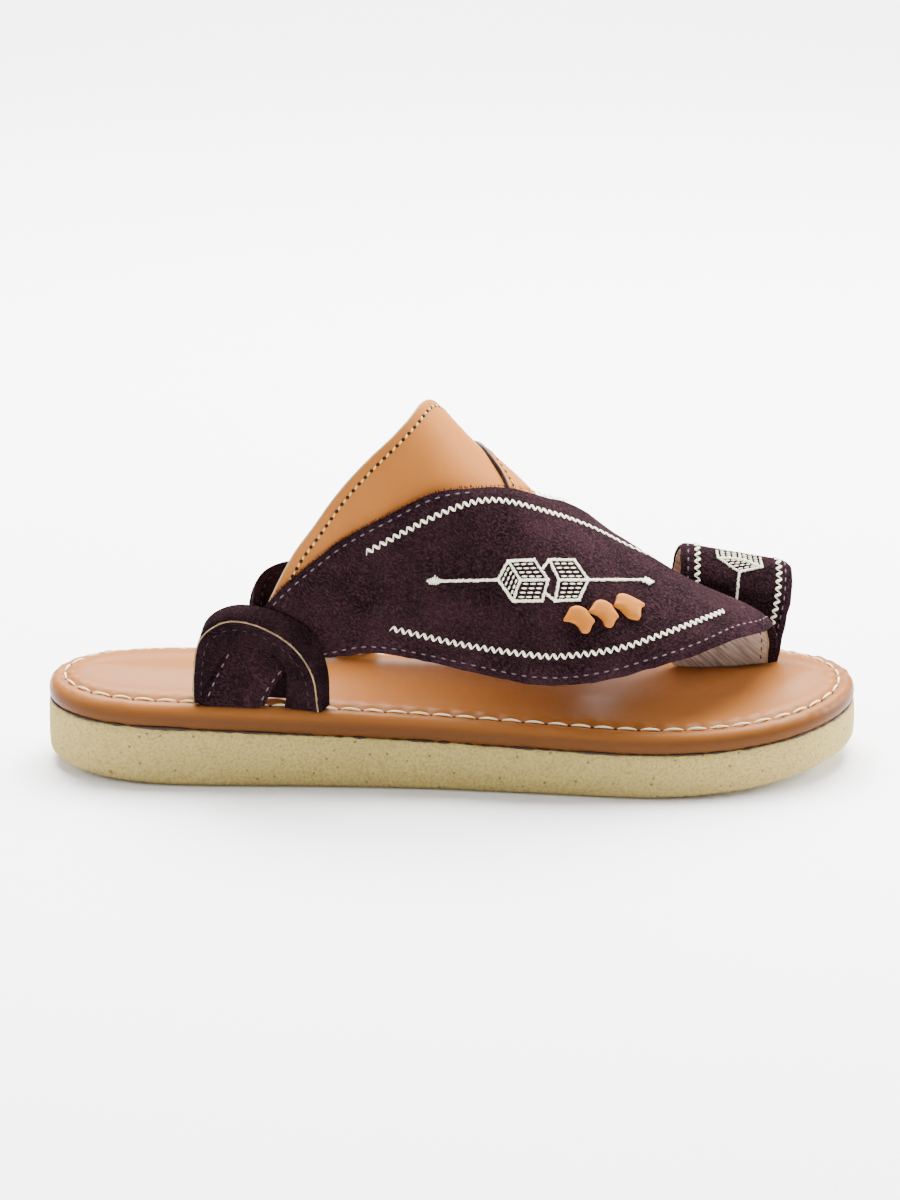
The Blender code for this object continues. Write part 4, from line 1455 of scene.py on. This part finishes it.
class SANDAL_OT_stage(bpy.types.Operator):
    """Set up the camera, the pale floor and the soft lights."""

    bl_idname = "sandal.stage"
    bl_label = "Stage"

    def execute(self, context):
        scene = context.scene
        tilt = math.radians(CAMERA_ELEVATION)
        lens = bpy.data.cameras.new("photo_camera")
        lens.sensor_width = SENSOR
        lens.lens = FOCAL_PIXELS * SENSOR / max(IMAGE_SIZE)
        camera = placed("photo_camera", lens)
        away = Vector((0.0, -math.cos(tilt), math.sin(tilt)))
        camera.location = (Vector(CAMERA_TARGET) + away * CAMERA_DISTANCE) * MM
        camera.rotation_euler = (math.pi / 2 - tilt, 0.0, 0.0)
        scene.camera = camera

        bm = bmesh.new()
        bmesh.ops.create_grid(bm, x_segments=1, y_segments=1, size=FLOOR_HALF)
        mesh = bpy.data.meshes.new("studio_floor")
        bm.to_mesh(mesh)
        bm.free()
        mesh.materials.append(studio_paper())
        floor = placed("studio_floor", mesh)

        for name, place, size, power in LIGHTS:
            lamp = bpy.data.lights.new(name, "AREA")
            lamp.shape = "RECTANGLE"
            lamp.size, lamp.size_y = size
            lamp.energy = power
            light = placed(name, lamp)
            light.location = place
            aim = Vector(BACKDROP_AIM if name.startswith("backdrop") else LIGHT_AIM) - light.location
            light.rotation_euler = aim.to_track_quat("-Z", "Y").to_euler()
        world = bpy.data.worlds.new("white_studio")
        world.use_nodes = True
        plug(world.node_tree, world.node_tree.nodes["Background"], {
            "Color": (1.0, 1.0, 1.0, 1.0), "Strength": WORLD_STRENGTH})
        scene.world = world
        return {"FINISHED"}


class SANDAL_OT_outsole(bpy.types.Operator):
    """Make the foam sole and the cement that squeezes out above it."""

    bl_idname = "sandal.outsole"
    bl_label = "Foam sole"

    def execute(self, context):
        bm = bmesh.new()
        rings = []
        for inset, share in profile(FOAM_EDGE, FOAM_RINGS):
            ring = []
            for reach, p in zip(OUTLINE_REACH, inset_outline(inset)):
                z = mix(sole_bottom(p.x), sole_top(p.x), share)
                ragged = FOAM_RAGGED * ease(*FOAM_RAGGED_RISE, share) * uneven(reach / FOAM_SPAN, 0.0, 0.3)
                ring.append(Vector((p.x, p.y, z + ragged)))
            rings.append(ring)
        add_rings(bm, rings)
        for ring in (rings[0], rings[-1]):
            add_cap(bm, ring)
        finish("foam_sole", bm, [foam_rubber()], "foam_rubber", "outsole")

        bm = bmesh.new()
        line = inset_outline(CEMENT_INSET)
        near, wide = CEMENT_SPANS
        beads = []
        for i, p in enumerate(line):
            run = p - line[i - 1]
            outward = Vector((run.y, -run.x, 0.0)).normalized()
            rough = uneven(OUTLINE_REACH[i] / near, 1.7, 0.0)
            rough += CEMENT_SLOW * uneven(OUTLINE_REACH[i] / wide, 4.2, 0.0)
            heel = CEMENT_HEEL * ease(*CEMENT_HEEL_X, p.x)
            size = CEMENT_SIZE * (CEMENT_LEAST + CEMENT_ROUGH * rough + heel)
            middle = Vector((p.x, p.y, sole_top(p.x) + CEMENT_LIFT))
            beads.append([
                middle + outward * size * math.cos(turn) + Vector((0.0, 0.0, size * math.sin(turn)))
                for turn in (math.tau * k / CEMENT_SIDES for k in range(CEMENT_SIDES))
            ])
        add_rings(bm, [*beads, beads[0]])
        cement = plain_leather("dried_cement", "cement", grain=0.8, roughness=0.5)
        finish("cement_line", bm, [cement], "foam_rubber")
        return {"FINISHED"}


class SANDAL_OT_footbed(bpy.types.Operator):
    """Make the padded leather footbed with its sewn channel, and its long stitches."""

    bl_idname = "sandal.footbed"
    bl_label = "Footbed"

    def execute(self, context):
        seam = size_of("footbed_inset")
        pitch = OUTLINE_REACH[-1] / round(OUTLINE_REACH[-1] / size_of("footbed_pitch"))
        lip = INSOLE_EDGE[-1][0]

        def sewn(inset, run, x):
            """Drop of the leather at the seam, its puckers, and the wrinkles over the rolled edge."""
            beat = math.cos(math.tau * run / pitch)
            drop = -CHANNEL_DROP * (CHANNEL_REST + CHANNEL_BEAT * beat) * hump(inset - seam, CHANNEL_WIDE)
            pucker = -PUCKER * beat * hump(inset - seam - PUCKER_INSET, PUCKER_HALF)
            ends = ease(*TOE_WRINKLES, x) + HEEL_WRINKLE_SHARE * ease(*HEEL_WRINKLES, x)
            wrinkle = ROLL_WRINKLE * ends * hump(inset - ROLL_INSET, ROLL_HALF)
            wrinkle *= uneven(run / ROLL_SPANS[0], inset / ROLL_SPANS[1], 2.0)
            wavy = FOOTBED_WAVY * uneven(run / FOOTBED_SPANS[0], inset / FOOTBED_SPANS[1], 6.0)
            return (drop + pucker + wrinkle + wavy) * ease(lip, lip - CHANNEL_FADE, inset)

        def crown(across, x, width):
            """Rise of the padding inside the seam, a little uneven."""
            rise = ease(0.0, 1.0, width * min(across, 1.0 - across) / (2 * lip))
            wavy = CROWN_WAVY * rise * uneven(x / CROWN_SPAN, across * CROWN_FOLDS, 9.0)
            return INSOLE_CROWN * cushion(x) * rise + wavy

        bm = bmesh.new()
        rings = []
        for inset, height in profile(INSOLE_EDGE, FOOTBED_RINGS):
            ring = []
            for reach, p in zip(OUTLINE_REACH, inset_outline(inset)):
                z = sole_top(p.x) + max(GAP, height * cushion(p.x))
                z += sewn(inset, reach, p.x) * ease(*SEWN_HEIGHTS, height)
                ring.append(Vector((p.x, p.y, z)))
            rings.append(ring)
        add_rings(bm, rings)
        add_cap(bm, rings[0])
        add_cap(bm, rings[-1], CROWN_CELLS, crown)
        cover = smooth_leather("footbed_cowhide", "footbed", roughness=0.34, clouds=0.05, burnish=0.34)
        footbed = finish("padded_footbed", bm, [cover], "footbed_leather", "insole")
        # Painted shade on the rolled side, darker towards the foam
        paint_side_shade(footbed, lambda p: ease(*SIDE_SHADE_HEIGHTS, p.z - sole_top(p.x)))

        line = inset_outline(seam)
        height = table_value(INSOLE_EDGE[2:], seam)
        route = []
        for p in (*line, line[0]):
            level = sole_top(p.x) + height * cushion(p.x) - CHANNEL_DROP * CHANNEL_REST
            route.append((Vector((p.x, p.y, level)), Vector((0.0, 0.0, 1.0))))
        threads, holes = [], []
        frames = walk(route, pitch, closed=True)
        for (a, _, up), (b, _, _) in zip(frames, frames[1:] + frames[:1]):
            half = (b - a).normalized() * FOOTBED_HOLE_HALF
            over, under = up * FOOTBED_THREAD_LIFT, up * FOOTBED_HOLE_LIFT
            threads.append((a + half + over, b - half + over, up, *FOOTBED_THREAD))
            holes.append((a - half + under, a + half + under, up, *FOOTBED_HOLE))
        sew("footbed_stitches", threads, thread("waxed_thread", "waxed"), "footbed_leather")
        sew("footbed_holes", holes, needle_hole(), "footbed_leather")
        return {"FINISHED"}


def paint_side_shade(piece, shade):
    """Store at each point of a piece how strongly painted shade darkens its colour."""
    layer = piece.data.attributes.new(PAINTED_SIDE_SHADE, "FLOAT", "POINT")
    for vert, value in zip(piece.data.vertices, layer.data):
        value.value = shade(vert.co / MM)


def make_sheet(name, piece, grid, materials, slot, *nodes):
    """Make a leather sheet; its materials are for the face, lining, raw rim, edge and cut strip."""
    sections, finishes = leather_of(name).sections(grid)
    bm = bmesh.new()
    add_rings(bm, sections, finishes)
    close_ends(bm)
    return finish(piece, bm, materials, slot, *nodes)


class SANDAL_OT_straps(bpy.types.Operator):
    """Make the two tan straps that cross over the instep, with the stitches along their edges."""

    bl_idname = "sandal.straps"
    bl_label = "Instep straps"

    def execute(self, context):
        tan = smooth_leather("strap_cowhide", "strap", roughness=0.42, clouds=0.08)
        painted = plain_leather("painted_leather_edge", "paint", grain=0.8, roughness=0.4)
        flesh = plain_leather("cowhide_flesh_side", "lining", grain=0.9, roughness=0.8)
        threads, holes = [], []
        for name, edge in zip(STRAPS, (raw_leather(), painted)):
            materials = [tan, flesh, raw_leather(), edge, raw_leather()]
            make_sheet(name, f"{name}_leather", STRAP_GRID, materials, "strap_leather", "instep_straps")
            for far_edge in (True, False):
                route = edge_route(leather_of(name), STRAP_SEWN, far_edge, size_of("strap_inset"))
                for step, (point, run, up) in enumerate(walk(route, size_of("strap_pitch") / 2)):
                    if step % 2:
                        half = run * STRAP_HOLE_HALF
                        holes.append((point - half, point + half, up, *STRAP_HOLE))
                    else:
                        base = point + up * STRAP_THREAD_LIFT
                        half = run * STRAP_THREAD_HALF + up.cross(run) * STRAP_THREAD_SLANT
                        threads.append((base - half, base + half, up, *STRAP_THREAD))
        sew("strap_stitches", threads, thread("yellow_thread", "yellow"), "strap_leather")
        sew("strap_holes", holes, needle_hole(), "strap_leather")
        return {"FINISHED"}


class SANDAL_OT_wings(bpy.types.Operator):
    """Make the two suede wings, with loose fibres along their upper edges."""

    bl_idname = "sandal.wings"
    bl_label = "Suede wings"

    def execute(self, context):
        chance = random.Random(FIBRE_SEED)
        strokes = []
        for name in ("wing_outer", "wing_inner"):
            materials = [suede(), lining_leather(), raw_leather(), suede(), raw_leather()]
            make_sheet(name, f"suede_{name}", WING_GRID, materials, "suede", name)
            strokes += fibres(leather_of(name), chance)
        sew("suede_fibres", strokes, suede(), "suede")
        return {"FINISHED"}


class SANDAL_OT_toe_loop(bpy.types.Operator):
    """Make the suede loop for the big toe."""

    bl_idname = "sandal.toe_loop"
    bl_label = "Toe loop"

    def execute(self, context):
        materials = [suede(), lining_leather(), suede(), suede(), suede()]
        make_sheet("toe_loop", "suede_toe_loop", LOOP_GRID, materials, "suede", "toe_loop")
        return {"FINISHED"}


def ear_spot(side):
    """A function that gives a point of an ear: between two lines of its arch, at a lift, moved inwards."""
    shift = INNER_FORWARD if side == INNER_SIDE else 0.0
    knots = run_lengths(EAR_ARCH, lambda row: Vector(row[RIM:ROOT]))
    columns = [column(EAR_ARCH, k) for k in range(6)]

    def flat(line, along):
        return Vector([through(knots, columns[line + k], along) for k in range(2)])

    def spot(start, end, share, along, lift, inward=0.0, end_along=None):
        step = 0.004
        run = (flat(end, min(along + step, 1.0)) - flat(end, max(along - step, 0.0))).normalized()
        x, z = flat(start, along).lerp(flat(end, along if end_along is None else end_along), share)
        x, z = x - run.y * inward, z + run.x * inward
        return seat(over_last(x + shift, angle_at(x + shift, z, side), lift))

    return spot


def ear_stations():
    """The ear's section: two lines, share between them, lift, distance inwards, finish of the next strip."""
    stations = []
    for k in range(HOOD_CELLS + 1):
        share = k / HOOD_CELLS
        lift = mix(EAR_ROOT_LIFT, EAR_RIM_LIFT, math.sin(share * math.pi / 2))
        stations.append((ROOT, RIM, share * EAR_HOOD_END, lift, 0.0, FACE))
    stations += [(ROOT, RIM, 1.0, EAR_RIM_LIFT + lift, inward, cut) for lift, inward, cut in EAR_LIP]
    for k in range(1, FACE_CELLS + 1):
        stations.append((RIM, SLOT, mix(EAR_FACE_START, 1.0, k / FACE_CELLS), EAR_RIM_LIFT, 0.0, FACE))
    stations += [(RIM, SLOT, 1.0, EAR_RIM_LIFT + lift, inward, cut) for lift, inward, cut in EAR_SLOT_EDGE]
    back = EAR_RIM_LIFT - EAR_THICK
    return [
        *stations,
        (RIM, SLOT, 0.5, back, 0.0, LINING),
        (RIM, RIM, 0.0, back, EAR_THICK, LINING),
        (ROOT, ROOT, 0.0, EAR_ROOT_LIFT, EAR_THICK, LINING),
    ]


class SANDAL_OT_ears(bpy.types.Operator):
    """Make the two suede ears: a rounded hood, a raw cut lip, a face with a slot, and a backing behind it."""

    bl_idname = "sandal.ears"
    bl_label = "Ears"

    def execute(self, context):
        stations = ear_stations()
        shares = [k / BACKING_CELLS for k in range(BACKING_CELLS + 1)]
        layers = [(share, 0.0) for share in shares] + [(share, BACKING_THICK) for share in reversed(shares)]
        # Painted shade: a darker copy of the suede, with fewer light streaks, stands in for the shade on the
        # ears
        nap = suede("handled_plum_suede", 0.5)
        for name, side in (("ear_outer", OUTER_SIDE), ("ear_inner", INNER_SIDE)):
            spot = ear_spot(side)
            rings = []
            for step in range(EAR_STEPS + 1):
                ring = []
                for start, end, share, lift, inward, cut in stations:
                    ragged = 0.0
                    if cut == RAW:
                        ragged = LIP_RAGGED * uneven(step / LIP_SPAN, inward * LIP_LAYER, side)
                    ring.append(spot(start, end, share, step / EAR_STEPS, lift + ragged, inward + ragged))
                rings.append(ring)
            bm = bmesh.new()
            add_rings(bm, rings, column(stations, 5))
            backing = []
            for share in shares:
                along = mix(*BACKING_SPAN, share)
                lift = mix(*BACKING_LIFTS, ease(*BACKING_BEND, along))
                backing.append([
                    spot(RIM, RIM, across, along, lift + out, 0.0, 1.0 - along) for across, out in layers
                ])
            add_rings(bm, backing)
            close_ends(bm)
            finish(f"suede_{name}", bm, [nap, nap, raw_leather()], "suede", name)
        return {"FINISHED"}


class SANDAL_OT_waves(bpy.types.Operator):
    """Make the three padded leather waves on the outer wing."""

    bl_idname = "sandal.waves"
    bl_label = "Leather waves"

    def execute(self, context):
        wing = leather_of("wing_outer")
        step = 0.01
        skin = smooth_leather("wave_cowhide", "wave", roughness=0.42, clouds=0.06)

        def slopes(a, b):
            here = wing.point(a, b)
            run = (wing.point(a + step, b) - here) / step
            width = (wing.point(a, b + step) - here) / step
            return here, run, width

        for number, (along, across, turn, corners) in enumerate(WAVES, start=1):
            curve = closed_curve(corners, CURVE_STEPS)
            outline = evenly(curve + curve[:1], WAVE_STEPS)[:-1]
            middle, run, width = slopes(along, across)
            outward = run.cross(width).normalized()
            toe = Vector((1.0, 0.0, 0.0))
            level = (toe - outward * toe.dot(outward)).normalized()
            tilt = math.radians(turn)
            forward = level * math.cos(tilt) + outward.cross(level) * math.sin(tilt)
            upward = outward.cross(forward)

            def on_wing(flat):
                """Slide a point of the wave along the wing's face."""
                a, b = along, across
                target = middle + forward * flat.x + upward * flat.y
                for _ in range(SLIDE_ROUNDS):
                    here, run, width = slopes(a, b)
                    miss = target - here
                    a += miss.dot(run) / run.dot(run)
                    b += miss.dot(width) / width.dot(width)
                return wing.point(a, b)

            rings = [
                [on_wing(point * share) + outward * height for point in outline]
                for share, height in PADDED_WAVE
            ]
            bm = bmesh.new()
            add_rings(bm, rings)
            wave = finish(f"leather_wave_{number}", bm, [skin], "applique_leather", f"applique_{number}")
        return {"FINISHED"}


class SANDAL_OT_edge_stitches(bpy.types.Operator):
    """Sew the stitches along the edges of the wings, the toe loop and the ears, and on the lining."""

    bl_idname = "sandal.edge_stitches"
    bl_label = "Edge stitches"

    def execute(self, context):
        strokes = []
        for name in ("wing_outer", "wing_inner", "toe_loop"):
            for far_edge in (True, False):
                short = far_edge and name == "wing_outer"
                route = edge_route(leather_of(name), SHORT_DASHES if short else DASHES, far_edge)
                strokes += dashes(route, EDGE_THREAD)
        sew("suede_edge_stitches", strokes, thread("grey_thread", "grey"), "suede")

        strokes = []
        for side in (OUTER_SIDE, INNER_SIDE):
            spot = ear_spot(side)
            for line, lift, out in ((RIM, EAR_RIM_LIFT, 1.0), (ROOT, EAR_ROOT_LIFT, -1.0)):
                route = []
                for step in range(EAR_SEAM_STEPS + 1):
                    along = mix(*DASHES, step / EAR_SEAM_STEPS)
                    point = spot(line, SLOT, 0.0, along, lift, EAR_STITCH_INSET)
                    over = spot(line, SLOT, 0.0, along, lift + out, EAR_STITCH_INSET)
                    route.append((point, (over - point).normalized()))
                strokes += dashes(route, EAR_THREAD)
        # Painted shade: the ears' stitches use a darker copy of the grey thread
        sew("ear_stitches", strokes, thread("dark_thread", "dark_thread"), "suede")

        sheet = leather_of("wing_outer")
        route = []
        for step in range(LINING_SEAM_STEPS + 1):
            along = mix(*LINING_SEAM, step / LINING_SEAM_STEPS)
            normal = -sheet.normal(along, LINING_SEAM_SHARE)
            route.append((sheet.place(along, LINING_SEAM_SHARE, 0.0), normal))
        strokes = dashes(route, LINING_THREAD)
        sew("lining_stitches", strokes, thread("brown_thread", "brown_thread"), "suede")
        return {"FINISHED"}


class SANDAL_OT_embroidery(bpy.types.Operator):
    """Embroider the cream zigzags and cubes on the wings and the toe loop."""

    bl_idname = "sandal.embroidery"
    bl_label = "Embroidery"

    def execute(self, context):
        cream = thread("cream_thread", "cream")
        depsgraph = context.evaluated_depsgraph_get()
        wing = BVHTree.FromObject(bpy.data.objects["suede_wing_outer"], depsgraph)
        loop = BVHTree.FromObject(bpy.data.objects["suede_toe_loop"], depsgraph)
        width = size_of("satin_width")
        chance = random.Random(THREAD_SEED)

        strokes = []
        for line in (UPPER_ZIGZAG, LOWER_ZIGZAG):
            strokes += zigzag(photo_route(wing, line))
        for bars, swell in ((CUBE_BARS, 0.0), (CUBE_BUDS, BUD_SWELL)):
            for start, end in bars:
                strokes += satin(photo_route(wing, [CUBES[start], CUBES[end]]), width, chance, swell)
        for face in CUBE_FACES:
            strokes += hatch(wing, [CUBES[name] for name in face], HATCH_WIDTH)
        sew("wing_outer_embroidery", strokes, cream, "suede")

        strokes = []
        for inset, far_edge in zip(LOOP_ZIGZAG_INSETS, (False, True)):
            strokes += zigzag(edge_route(leather_of("toe_loop"), LOOP_ZIGZAG_SPAN, far_edge, inset))
        for start, end in LOOP_BARS:
            bar = photo_route(loop, [LOOP_CUBE[start], LOOP_CUBE[end]])
            strokes += satin(bar, width * LOOP_SATIN_SHARE, chance)
        for face in LOOP_FACES:
            strokes += hatch(loop, [LOOP_CUBE[name] for name in face], LOOP_HATCH_WIDTH)
        sew("toe_loop_embroidery", strokes, cream, "suede")

        strokes = []
        for far_edge in (True, False):
            route = edge_route(leather_of("wing_inner"), INNER_ZIGZAG_SPAN, far_edge, INNER_ZIGZAG_INSET)
            strokes += zigzag(route)
        sew("wing_inner_embroidery", strokes, cream, "suede")
        return {"FINISHED"}


class SANDAL_PT_panel(bpy.types.Panel):
    """The sandal's pieces, sizes and colours."""

    bl_idname = "SANDAL_PT_panel"
    bl_label = "Sandal"
    bl_space_type = "VIEW_3D"
    bl_region_type = "UI"
    bl_category = "Sandal"

    def draw(self, context):
        layout = self.layout
        for operator in OPERATORS:
            layout.operator(operator.bl_idname)
        for group in (context.scene.sandal_sizes, context.scene.sandal_colours):
            box = layout.box()
            for name in group.__annotations__:
                box.prop(group, name)


OPERATORS = (
    SANDAL_OT_stage, SANDAL_OT_outsole, SANDAL_OT_footbed, SANDAL_OT_straps, SANDAL_OT_wings,
    SANDAL_OT_ears, SANDAL_OT_toe_loop, SANDAL_OT_waves, SANDAL_OT_edge_stitches, SANDAL_OT_embroidery,
)
CLASSES = (SandalSizes, SandalColours, *OPERATORS, SANDAL_PT_panel)


def register():
    for each in CLASSES:
        bpy.utils.register_class(each)
    bpy.types.Scene.sandal_sizes = bpy.props.PointerProperty(type=SandalSizes)
    bpy.types.Scene.sandal_colours = bpy.props.PointerProperty(type=SandalColours)


def unregister():
    del bpy.types.Scene.sandal_colours
    del bpy.types.Scene.sandal_sizes
    for each in reversed(CLASSES):
        bpy.utils.unregister_class(each)


def main():
    register()
    bpy.ops.sandal.stage()
    bpy.ops.sandal.outsole()
    bpy.ops.sandal.footbed()
    bpy.ops.sandal.straps()
    bpy.ops.sandal.wings()
    bpy.ops.sandal.ears()
    bpy.ops.sandal.toe_loop()
    bpy.ops.sandal.waves()
    bpy.ops.sandal.edge_stitches()
    bpy.ops.sandal.embroidery()


if __name__ == "__main__":
    main()
